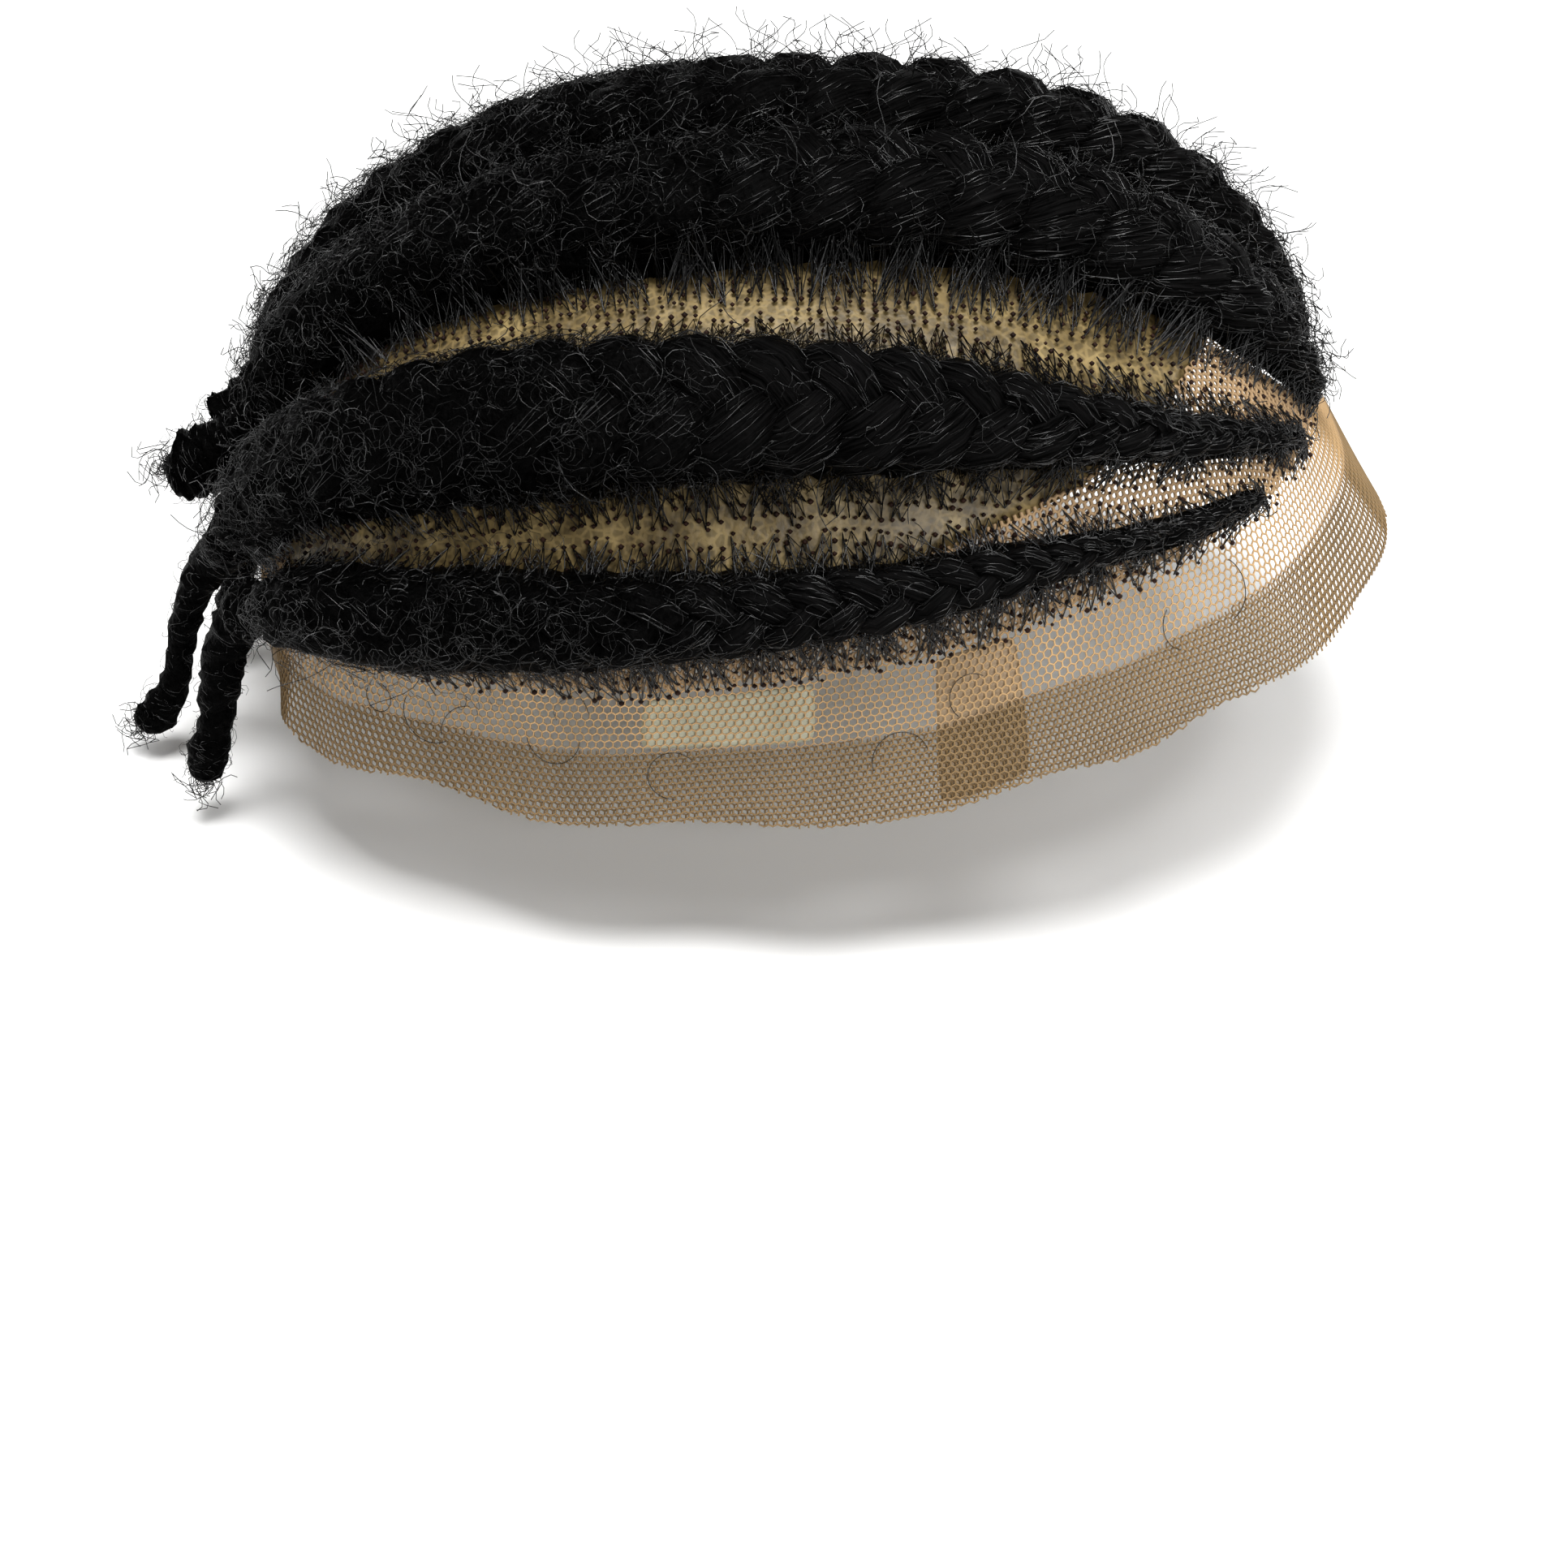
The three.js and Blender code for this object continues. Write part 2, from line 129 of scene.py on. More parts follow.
def domePoints(directions, lift):  # places on the dome, lifted along its normals, and the normals
    depth = np.where(directions[..., 1] < 0, domeForm["front"], domeForm["back"])
    width = np.full_like(depth, domeForm["halfWidth"])
    height = np.full_like(depth, domeForm["height"])
    axes = np.stack([width, depth, height], -1)
    parts = np.abs(directions) / axes
    power = domeForm["squareness"]
    points = directions * (parts ** power).sum(-1, keepdims=True) ** (-1 / power)
    normals = unit(np.sign(directions) * parts ** (power - 1) / axes)
    lift = np.broadcast_to(lift, depth.shape)
    return points + normals * lift[..., None], normals


def polarDirections(azimuth, down):
    azimuth, down = np.broadcast_arrays(np.radians(azimuth), np.radians(down))
    ring = np.sin(down)
    return np.stack([-ring * np.sin(azimuth), -ring * np.cos(azimuth), np.cos(down)], -1)


def capEdge(column, azimuth):
    turn = np.mod(azimuth, 360)
    return tableValue(capEdges, "azimuth", column, np.where(turn > 180, 360 - turn, turn))


def borderShare(azimuth, down):  # 0 at the hairline and 1 at the hem
    hairline = capEdge("hairline", azimuth)
    return (down - hairline) / (capEdge("hem", azimuth) - hairline)


def borderDown(azimuth, share):  # degrees down at a share of the border
    return blend(capEdge("hairline", azimuth), capEdge("hem", azimuth), share)


def capPoints(azimuth, down, lift):  # places on the cap: the dome with the border's flare and ripple
    azimuth, down = np.broadcast_arrays(np.asarray(azimuth, float), np.asarray(down, float))
    border = np.clip(borderShare(azimuth, down), 0, hemRipple["limit"])
    turn = np.mod(azimuth, 360)
    waves = np.where(turn > 180, hemRipple["leftWaves"], hemRipple["rightWaves"])
    standOff = capEdge("flare", azimuth) * border ** hemRipple["flareCurve"]
    standOff = standOff + hemRipple["depth"] * np.sin(np.radians(turn) * waves) * border
    points, normals = domePoints(polarDirections(azimuth, down), lift)
    return points + polarDirections(azimuth, 90) * standOff[..., None], normals


def toPart(points):  # millimetres from the dome's centre to the part's frame in metres
    return (np.asarray(points) - [0, 0, domeForm["crownInside"]]) * mm


def placeObject(name, data):
    thing = bpy.data.objects.new(name, data)
    bpy.context.scene.collection.objects.link(thing)
    return thing


# Node trees: hairs and net threads are tubes on edge paths, knots are small balls on points

def addNode(tree, kind, inputs, **settings):  # each input is set by a value or linked to a socket
    node = tree.nodes.new(kind)
    for label, value in settings.items():
        setattr(node, label, value)
    for label, value in inputs.items():
        if isinstance(value, bpy.types.NodeSocket):
            tree.links.new(value, node.inputs[label])
        else:
            node.inputs[label].default_value = value
    return node


def namedValue(tree, name, kind="FLOAT"):
    node = addNode(tree, "GeometryNodeInputNamedAttribute", {"Name": name}, data_type=kind)
    return node.outputs["Attribute"]


def newTree(name, inputs):
    tree = bpy.data.node_groups.new(name, "GeometryNodeTree")
    tree.interface.new_socket("Geometry", in_out="INPUT", socket_type="NodeSocketGeometry")
    for label, kind in inputs.items():
        tree.interface.new_socket(label, in_out="INPUT", socket_type=kind)
    tree.interface.new_socket("Geometry", in_out="OUTPUT", socket_type="NodeSocketGeometry")
    return tree, tree.nodes.new("NodeGroupInput").outputs


def endTree(tree, geometry, material, painted=True):
    realize = addNode(tree, "GeometryNodeRealizeInstances", {"Geometry": geometry})
    smooth = addNode(tree, "GeometryNodeSetShadeSmooth", {"Geometry": realize.outputs["Geometry"]})
    inputs = {"Geometry": smooth.outputs["Geometry"], "Material": material, "Selection": painted}
    paint = addNode(tree, "GeometryNodeSetMaterial", inputs)
    addNode(tree, "NodeGroupOutput", {"Geometry": paint.outputs["Geometry"]})
    return tree


def makeStrandTree():  # solids pass through, and each edge path becomes a tube of its own thickness
    inputs = {"Sides": "NodeSocketInt", "Core": "NodeSocketMaterial", "Material": "NodeSocketMaterial"}
    tree, given = newTree("strandTubes", inputs)
    strandEdge = namedValue(tree, "strand", "BOOLEAN")
    paths = addNode(tree, "GeometryNodeMeshToCurve", {"Mesh": given["Geometry"], "Selection": strandEdge})
    profile = addNode(tree, "GeometryNodeCurvePrimitiveCircle", {"Resolution": given["Sides"], "Radius": 1.0})
    tubes = addNode(tree, "GeometryNodeCurveToMesh", {
        "Curve": paths.outputs["Curve"],
        "Profile Curve": profile.outputs["Curve"],
        "Scale": namedValue(tree, "thickness"),
    })
    inputs = {"Geometry": given["Geometry"], "Selection": strandEdge}
    solids = addNode(tree, "GeometryNodeDeleteGeometry", inputs)
    inputs = {"Geometry": solids.outputs["Geometry"], "Material": given["Core"]}
    cores = addNode(tree, "GeometryNodeSetMaterial", inputs)
    join = addNode(tree, "GeometryNodeJoinGeometry", {"Geometry": cores.outputs["Geometry"]})
    tree.links.new(tubes.outputs["Mesh"], join.inputs["Geometry"])
    return endTree(tree, join.outputs["Geometry"], given["Material"], strandEdge)


def makeKnotTree():
    inputs = {"Segments": "NodeSocketInt", "Rings": "NodeSocketInt", "Material": "NodeSocketMaterial"}
    tree, given = newTree("knotBalls", inputs)
    inputs = {"Segments": given["Segments"], "Rings": given["Rings"], "Radius": 1.0}
    ball = addNode(tree, "GeometryNodeMeshUVSphere", inputs)
    balls = addNode(tree, "GeometryNodeInstanceOnPoints", {
        "Points": given["Geometry"],
        "Instance": ball.outputs["Mesh"],
        "Scale": namedValue(tree, "thickness"),
    })
    return endTree(tree, balls.outputs["Instances"], given["Material"])


strandTree = makeStrandTree()
knotTree = makeKnotTree()
pointColumns = {"strand": "BOOLEAN", "thickness": "FLOAT", "shade": "FLOAT", "grain": "FLOAT_VECTOR"}


def newBundle():
    return {"count": 0, **{column: [] for column in ("points", "edges", "faces", *pointColumns)}}


def addToBundle(bundle, points, strand, thickness, shade, grain=None):
    count = len(points)
    bundle["points"].append(points)
    bundle["strand"].append(np.full(count, strand, bool))
    bundle["thickness"].append(np.broadcast_to(thickness, count) * mm)
    bundle["shade"].append(np.broadcast_to(shade, count))
    bundle["grain"].append(np.zeros((count, 3)) if grain is None else grain)
    start = bundle["count"]
    bundle["count"] += count
    return start


def addPaths(bundle, paths, thickness, shade):  # paths is hairs x points x 3, with one shade for each hair
    hairs, steps = paths.shape[:2]
    if np.ndim(thickness) < 2:
        thickness = np.broadcast_to(thickness, hairs)[:, None]
    thickness = np.broadcast_to(thickness, (hairs, steps)).reshape(-1)
    shade = np.repeat(np.broadcast_to(shade, hairs), steps)
    start = addToBundle(bundle, paths.reshape(-1, 3), True, thickness, shade)
    index = start + np.arange(hairs * steps).reshape(hairs, steps)
    bundle["edges"].append(np.stack([index[:, :-1], index[:, 1:]], -1).reshape(-1, 2))


def addTube(bundle, sections, shade, grain):  # sections is steps x sides x 3
    steps, sides = sections.shape[:2]
    points, streaks = (
        np.concatenate([part.reshape(-1, 3), part[[0, -1]].mean(1)]) for part in (sections, grain)
    )
    start = addToBundle(bundle, points, False, 0.0, shade, streaks)
    index = start + np.arange(steps * sides).reshape(steps, sides)
    ahead = np.roll(index, -1, axis=1)
    quads = np.stack([index[:-1], ahead[:-1], ahead[1:], index[1:]], -1).reshape(-1, 4)
    bundle["faces"].extend(quads.tolist())
    first = start + steps * sides
    for centre, near, far in ((first, ahead[0], index[0]), (first + 1, index[-1], ahead[-1])):
        bundle["faces"].extend([centre, *pair] for pair in np.stack([near, far], -1).tolist())


def growPiece(name, bundle, tree, inputs):  # runs a node tree on a bundle and leaves a plain mesh
    mesh = bpy.data.meshes.new(name)
    edges = np.concatenate(bundle["edges"]).tolist() if bundle["edges"] else []
    mesh.from_pydata(toPart(np.concatenate(bundle["points"])).tolist(), edges, bundle["faces"])
    for column, kind in pointColumns.items():
        attribute = mesh.attributes.new(column, kind, "POINT")
        values = np.concatenate(bundle[column]).ravel()
        attribute.data.foreach_set("vector" if kind == "FLOAT_VECTOR" else "value", values)
    piece = placeObject(name, mesh)
    modifier = piece.modifiers.new("grow", "NODES")
    modifier.node_group = tree
    for socket in tree.interface.items_tree:
        if socket.in_out == "INPUT" and socket.name in inputs:
            modifier[socket.identifier] = inputs[socket.name]
    depsgraph = bpy.context.evaluated_depsgraph_get()
    grown = bpy.data.meshes.new_from_object(piece.evaluated_get(depsgraph), depsgraph=depsgraph)
    piece.modifiers.remove(modifier)
    piece.data = grown
    bpy.data.meshes.remove(mesh)
    grown.name = name
    for leftOver in ("strand", "thickness"):
        if leftOver in grown.attributes:
            grown.attributes.remove(grown.attributes[leftOver])
    triangles = sum(len(face.vertices) - 2 for face in grown.polygons)
    print("grown", name, triangles, "triangles")
    return piece


def settle(piece, slot, *nodes):
    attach(piece, "root")
    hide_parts(*nodes)


# Materials

def newMaterial(name, finish):
    material = bpy.data.materials.new(name)
    material.use_nodes = True
    shader = material.node_tree.nodes["Principled BSDF"]
    for label, value in finish["surface"].items():
        shader.inputs[label].default_value = value
    return material, material.node_tree, shader


def addNoise(tree, vector, scale, detail=3.0):
    inputs = {"Vector": vector, "Scale": scale, "Detail": detail}
    return addNode(tree, "ShaderNodeTexNoise", inputs).outputs["Fac"]


def addRamp(tree, value, places, tones):
    ramp = addNode(tree, "ShaderNodeValToRGB", {"Fac": value})
    stops = ramp.color_ramp.elements
    while len(stops) < len(places):
        stops.new(0.5)
    for stop, place, tone in zip(stops, places, tones):
        stop.position = place
        stop.color = (*tone, 1)
    return ramp.outputs["Color"]


def addBump(tree, shader, height, strength, depth):
    inputs = {"Height": height, "Strength": strength, "Distance": depth * mm}
    bump = addNode(tree, "ShaderNodeBump", inputs)
    tree.links.new(bump.outputs["Normal"], shader.inputs["Normal"])


def addMix(tree, kind, factor, first, second, blendType="MIX"):
    mix = addNode(tree, "ShaderNodeMix", {"Factor": factor}, data_type=kind, blend_type=blendType)
    socketType = {"RGBA": "RGBA", "FLOAT": "VALUE"}[kind]
    ends = [socket for socket in mix.inputs if socket.type == socketType and socket.name in ("A", "B")]
    for source, end in zip((first, second), ends):
        tree.links.new(source, end)
    return next(socket for socket in mix.outputs if socket.type == socketType)


def addAttribute(tree, name, output="Fac"):
    return addNode(tree, "ShaderNodeAttribute", {}, attribute_name=name).outputs[output]


def objectPlace(tree):
    return tree.nodes.new("ShaderNodeTexCoord").outputs["Object"]


def mottledTone(tree, finish, tones, detail=3.0):
    noise = addNoise(tree, objectPlace(tree), finish["mottle"], detail)
    return addRamp(tree, noise, finish["toneStops"], tones)


hairFinish = {  # shade 0 is dull woolly hair, 1 combed glossy hair
    "surface": {"Roughness": 0.17, "Specular IOR Level": 0.38},
    "dullRoughness": 0.28,
    "tones": ((0.0004, 0.0004, 0.0004), (0.0026, 0.0024, 0.0024)),
}
coreFinish = {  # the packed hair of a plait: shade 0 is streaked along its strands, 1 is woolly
    "surface": {"Roughness": 0.45, "Specular IOR Level": 0.01},
    "combed": ((0.0003, 0.0003, 0.0003), (0.0048, 0.0046, 0.0046)),
    "woolly": ((0.0001, 0.0001, 0.0001), (0.001, 0.00095, 0.00095)),
    "toneStops": (0.35, 0.65),
    "stretch": (0.07, 1.0, 1.0),
    "streaks": 1.7,
    "curls": 900,
    "detail": 4,
    "relief": (1.0, 0.9),  # strength and depth, here and below
}
knotFinish = {
    "surface": {"Roughness": 0.55, "Specular IOR Level": 0.1},
    "tones": ((0.006, 0.0025, 0.0015), (0.024, 0.0095, 0.006)),
    "toneStops": (0.35, 0.65),
    "mottle": 900,
}
laceFinish = {  # shade 0 is the sheer border, 0.5 the crown and 1 the doubled hem, whose darker tone is painted shade: the shadow the lace would cast on a head under it
    "surface": {"Roughness": 0.6, "Specular IOR Level": 0.2},
    "shades": (0, 0.5, 1),
    "tones": ((0.45, 0.29, 0.14), (0.34, 0.225, 0.12), (0.225, 0.145, 0.066)),
    "mottle": 60,
    "mottleTones": ((0.8,) * 3, (1.12,) * 3),
    "toneStops": (0.3, 0.7),
    "grain": 4000,
    "relief": (0.4, 0.05),
}
filmFinish = {
    "surface": {"Roughness": 0.46, "Specular IOR Level": 0.3, "Coat Weight": 0.06, "Coat Roughness": 0.22},
    "tones": ((0.042, 0.028, 0.009), (0.122, 0.086, 0.033), (0.225, 0.165, 0.07)),
    "toneStops": (0.28, 0.5, 0.74),
    "mottle": 170,
    "detail": 5,
    "cells": {"Scale": 620, "Randomness": 0.8},  # the lace that shows through, in cells to the metre
    "threadTones": ((1.42,) * 3, (0.86,) * 3),
    "threadStops": (0.08, 0.2),
    "crinkles": 420,
    "crinkleDetail": 4,
    "relief": (0.6, 0.5),
}
tapeFinish = {
    "surface": {"Roughness": 0.55},
    "pale": ((0.4, 0.4, 0.3), (0.52, 0.52, 0.4)),
    "brown": ((0.3, 0.213, 0.125), (0.4, 0.297, 0.187)),
    "toneStops": (0.3, 0.7),
    "mottle": 130,
    "weave": 2600,
    "weaveDetail": 1,
    "relief": (0.5, 0.12),
}


def makeHairMaterial():
    material, tree, shader = newMaterial("looseHair", hairFinish)
    shade = addAttribute(tree, "shade")
    colour = addRamp(tree, shade, (0, 1), hairFinish["tones"])
    dull, glossy = hairFinish["dullRoughness"], hairFinish["surface"]["Roughness"]
    gloss = addNode(tree, "ShaderNodeMapRange", {"Value": shade, "To Min": dull, "To Max": glossy})
    tree.links.new(colour, shader.inputs["Base Color"])
    tree.links.new(gloss.outputs["Result"], shader.inputs["Roughness"])
    return material


def makeCoreMaterial():
    material, tree, shader = newMaterial("plaitedHair", coreFinish)
    inputs = {"Vector": addAttribute(tree, "grain", "Vector"), "Scale": coreFinish["stretch"]}
    stretched = addNode(tree, "ShaderNodeMapping", inputs).outputs["Vector"]
    streak = addNoise(tree, stretched, coreFinish["streaks"], coreFinish["detail"])
    curl = addNoise(tree, objectPlace(tree), coreFinish["curls"], coreFinish["detail"])
    shade = addAttribute(tree, "shade")
    relief = addMix(tree, "FLOAT", shade, streak, curl)
    # the tones follow the relief and are darkest in its hollows: partly the hair's own uneven tone, partly
    # painted shade between the packed hairs
    combed = addRamp(tree, relief, coreFinish["toneStops"], coreFinish["combed"])
    woolly = addRamp(tree, relief, coreFinish["toneStops"], coreFinish["woolly"])
    tree.links.new(addMix(tree, "RGBA", shade, combed, woolly), shader.inputs["Base Color"])
    addBump(tree, shader, relief, *coreFinish["relief"])
    return material


def makeKnotMaterial():
    material, tree, shader = newMaterial("rootKnots", knotFinish)
    tree.links.new(mottledTone(tree, knotFinish, knotFinish["tones"]), shader.inputs["Base Color"])
    return material


def makeLaceMaterial():
    material, tree, shader = newMaterial("laceNet", laceFinish)
    # the doubled hem's darker tone is painted shade, the shadow the lace would cast on a head
    tone = addRamp(tree, addAttribute(tree, "shade"), laceFinish["shades"], laceFinish["tones"])
    mottle = mottledTone(tree, laceFinish, laceFinish["mottleTones"])
    tree.links.new(addMix(tree, "RGBA", 1.0, tone, mottle, "MULTIPLY"), shader.inputs["Base Color"])
    addBump(tree, shader, addNoise(tree, objectPlace(tree), laceFinish["grain"]), *laceFinish["relief"])
    return material


def makeFilmMaterial():
    material, tree, shader = newMaterial("goldenFilm", filmFinish)
    place = objectPlace(tree)
    colour = mottledTone(tree, filmFinish, filmFinish["tones"], filmFinish["detail"])
    inputs = {"Vector": place, **filmFinish["cells"]}
    cells = addNode(tree, "ShaderNodeTexVoronoi", inputs, feature="DISTANCE_TO_EDGE")
    weave = addRamp(tree, cells.outputs["Distance"], filmFinish["threadStops"], filmFinish["threadTones"])
    tree.links.new(addMix(tree, "RGBA", 1.0, colour, weave, "MULTIPLY"), shader.inputs["Base Color"])
    crinkles = addNoise(tree, place, filmFinish["crinkles"], filmFinish["crinkleDetail"])
    addBump(tree, shader, crinkles, *filmFinish["relief"])
    return material


def makeTapeMaterial(kind):
    material, tree, shader = newMaterial(kind + "Tape", tapeFinish)
    tree.links.new(mottledTone(tree, tapeFinish, tapeFinish[kind]), shader.inputs["Base Color"])
    weave = addNoise(tree, objectPlace(tree), tapeFinish["weave"], tapeFinish["weaveDetail"])
    addBump(tree, shader, weave, *tapeFinish["relief"])
    return material


knotInputs = {"Segments": 5, "Rings": 2, "Material": makeKnotMaterial()}
laceInputs = {"Sides": 3, "Material": makeLaceMaterial()}
hairInputs = {"Sides": 3, "Core": makeCoreMaterial(), "Material": makeHairMaterial()}
filmMaterial = makeFilmMaterial()
tapeMaterials = {kind: makeTapeMaterial(kind) for kind in ("pale", "brown")}
print("materials made")


# Rows: the centre line of each, laid on the cap

rowEnds = {  # a row runs out to a point in front and rounds off behind
    "nose": 7.0,
    "noseCut": 0.03,
    "heel": 8.0,
    "heelCut": 0.3,
    "stations": 321,
}
rowSlim = {  # a row's tight front: its share of the full form, and the arches between which it fills out
    "outer": (0.74, -45, -26),
    "middle": (0.68, -46, -6),
    "inner": (0.94, -56, -36),
}


def layRow(name, hand):
    stations = rowStations[name]
    arch = np.linspace(stations["arch"][0], stations["arch"][-1], rowEnds["stations"])
    side = np.radians(tableValue(stations, "arch", "side", arch))
    back = np.radians(arch)
    directions = np.stack([hand * np.sin(side), np.cos(side) * np.sin(back), np.cos(side) * np.cos(back)], -1)
    seat, normal = domePoints(directions, hairGap)
    along = unit(np.gradient(seat, axis=0))
    travel = pathLength(seat)
    nose = np.clip(travel / rowEnds["nose"], rowEnds["noseCut"], 1)
    heel = np.clip((travel[-1] - travel) / rowEnds["heel"], rowEnds["heelCut"], 1)
    least, thinArch, fullArch = rowSlim[name]
    slim = blend(least, 1, smoothStep(thinArch, fullArch, arch))
    taper = np.sqrt((1 - (1 - nose) ** 2) * (1 - (1 - heel) ** 2)) * slim
    return {
        "name": name,
        "travel": travel,
        "seat": seat,
        "across": unit(np.cross(normal, along)),
        "along": along,
        "taper": taper,
        "halfWidth": tableValue(stations, "arch", "halfWidth", arch) * taper,
        "height": tableValue(stations, "arch", "height", arch) * taper,
    }


def rowValue(row, column, travel):
    values = row[column]
    if values.ndim == 1:
        return np.interp(travel, row["travel"], values)
    return np.stack([np.interp(travel, row["travel"], values[:, axis]) for axis in range(3)], -1)


def rowForm(row, travel):
    return rowValue(row, "halfWidth", travel), rowValue(row, "height", travel)


def rowPoints(row, travel, offset, lift):  # places beside and above a row's centre line, and their normals
    travel, offset, lift = np.broadcast_arrays(*(np.asarray(part, float) for part in (travel, offset, lift)))
    flat = rowValue(row, "seat", travel) + rowValue(row, "across", travel) * offset[..., None]
    return domePoints(unit(flat), hairGap + lift)


rows = {(side, name): layRow(name, hand) for side, hand in hands.items() for name in rowStations}

plait = {
    "strands": 3,
    "pitch": {"outer": 9.0, "middle": 11.0, "inner": 12.0},  # one lobe at the row's full width
    "pitchPower": 0.6,  # how fast the lobes shorten where the row narrows
    "swing": 0.5,  # strand centre, in half widths
    "middle": 0.43,  # strand centre, in heights
    "weave": 0.2,
    "strandWide": 0.46,
    "strandHigh": 0.38,
    "puff": 0.18,
    "back": (0.38, 0.7),  # shares of the length between which combed hair turns to wool
    "backFade": 0.4,  # how much of the weave is lost in the woolly back
    "probe": 0.4,  # step to each side that gives a strand's heading
    "coreStep": 1.8,
    "coreSides": 9,
    "coreSwell": 0.97,
    "grainShift": 40,  # keeps the streaks of the three strands apart
    "shoulder": 0.75,  # roundness of the row's outer form
    "cushion": (0.66, 0.88),  # the wool under the lobes, as a share of that form, at the front and back
    "cushionSides": 14,
    "lumps": 0.045,
    "lumpRange": (-1.5, 1),
    "skirt": 1.8,  # how far the matted roots spread out at the cushion's foot
    "skirtPower": 9,
}


def drawLumps(chance, shape, size):
    return size * chance.normal(0, 1, shape).clip(*plait["lumpRange"])


def backShare(row, travel):  # 0 in the combed front of a row, 1 in its woolly back
    return smoothStep(*plait["back"], travel / row["travel"][-1])


def envelope(row, travel, angle, swell, skirt=0.0):  # outer form of a row: angle 0 and pi are its two feet
    halfWidth, height = rowForm(row, travel)
    flare = skirt * rowValue(row, "taper", travel) * np.cos(angle) ** plait["skirtPower"]
    offset = halfWidth * np.cos(angle) * swell + flare
    lift = height * np.abs(np.sin(angle)) ** plait["shoulder"] * swell
    return rowPoints(row, travel, offset, lift)[0]


def plaitPhase(row, travel):
    widest = row["halfWidth"].max()
    pitch = plait["pitch"][row["name"]] * (row["halfWidth"] / widest) ** plait["pitchPower"]
    turns = np.concatenate([[0], np.cumsum(np.diff(row["travel"]) / (plait["strands"] * pitch[1:]))])
    return np.interp(travel, row["travel"], turns)


def strandPlace(row, strand, travel):  # offset, lift, half width and half height of a strand
    angle = 2 * np.pi * (plaitPhase(row, travel) + strand / plait["strands"])
    halfWidth, height = rowForm(row, travel)
    rise = np.sin(2 * angle) * (1 - plait["backFade"] * backShare(row, travel))
    offset = plait["swing"] * halfWidth * np.sin(angle)
    lift = height * (plait["middle"] + plait["weave"] * rise)
    puff = 1 + plait["puff"] * rise
    return offset, lift, plait["strandWide"] * halfWidth * puff, plait["strandHigh"] * height * puff


def strandSurface(row, strand, travel, angle, swell):
    offset, lift, wide, high = strandPlace(row, strand, travel)
    centre, normal = rowPoints(row, travel, offset, lift)
    probes = (np.clip(travel + step, 0, row["travel"][-1]) for step in (-plait["probe"], plait["probe"]))
    behind, ahead = (rowPoints(row, place, *strandPlace(row, strand, place)[:2])[0] for place in probes)
    along = unit(ahead - behind)
    across = unit(np.cross(normal, along))
    up = np.cross(along, across)
    reachWide, reachHigh = wide * swell * np.cos(angle), high * swell * np.sin(angle)
    return centre + across * reachWide[..., None] + up * reachHigh[..., None]


def addPlaitCores(bundle, row, chance):
    length = row["travel"][-1]
    travel = np.linspace(0, length, int(length / plait["coreStep"]) + 1)
    angle = np.linspace(0, 2 * np.pi, plait["coreSides"], endpoint=False)
    grid, turn = np.meshgrid(travel, angle, indexing="ij")
    for strand in range(plait["strands"]):
        sections = strandSurface(row, strand, grid, turn, plait["coreSwell"])
        half = strandPlace(row, strand, grid)[2]
        grain = np.stack([grid + plait["grainShift"] * strand, half * np.cos(turn), half * np.sin(turn)], -1)
        shade = np.repeat(backShare(row, travel), plait["coreSides"])
        addTube(bundle, sections, np.append(shade, shade[[0, -1]]), grain)
    grid, turn = np.meshgrid(travel, np.linspace(0, np.pi, plait["cushionSides"]), indexing="ij")
    swell = blend(*plait["cushion"], backShare(row, grid)) + drawLumps(chance, grid.shape, plait["lumps"])
    cushion = envelope(row, grid, turn, swell, plait["skirt"])
    addTube(bundle, cushion, 1.0, np.zeros_like(cushion))


# Hairs on the rows: each kind has its own numbers, with counts by row and shares of a row's length

def drawTurn(chance, count):
    return chance.uniform(0, 2 * np.pi, count)[:, None]


def drawWay(chance, count):
    return chance.choice([-1, 1], count)[:, None]


def sweepPaths(start, *moves):  # paths from start points, each move a direction and its distances
    paths = start[:, None]
    for direction, distance in moves:
        paths = paths + direction[:, None] * distance[..., None]
    return paths


def wander(run, heading):  # plane paths that follow a heading
    stepLength = np.diff(run, axis=1, prepend=0)
    return (np.cumsum(stepLength * part, axis=1) for part in (np.cos(heading), np.sin(heading)))


fibre = {  # hairs combed along the strands, where they lie on the outside of the plait
    "count": {"outer": 700, "middle": 1020, "inner": 1020},
    "tries": 6,  # places drawn for each hair
    "angles": (-0.35, 1.35),  # round the strand, in half turns
    "swell": (0.97, 1.07),  # from the strand's centre, as a share of its form
    "hidden": 0.92,  # squared share of another strand's form that hides a hair
    "lost": 0.75,  # share that gives way to wool behind
    "foot": 0.12,  # lowest place, in heights of the row
    "length": (6.0, 12.0),
    "lengthPower": 0.6,
    "points": 4,
    "twist": 0.35,
    "rise": 0.03,
    "sink": 0.2,  # how the ends go down into the strand
    "thickness": (0.05, 0.1),
    "taper": 1.4,
    "shade": (0.4, 1),
}


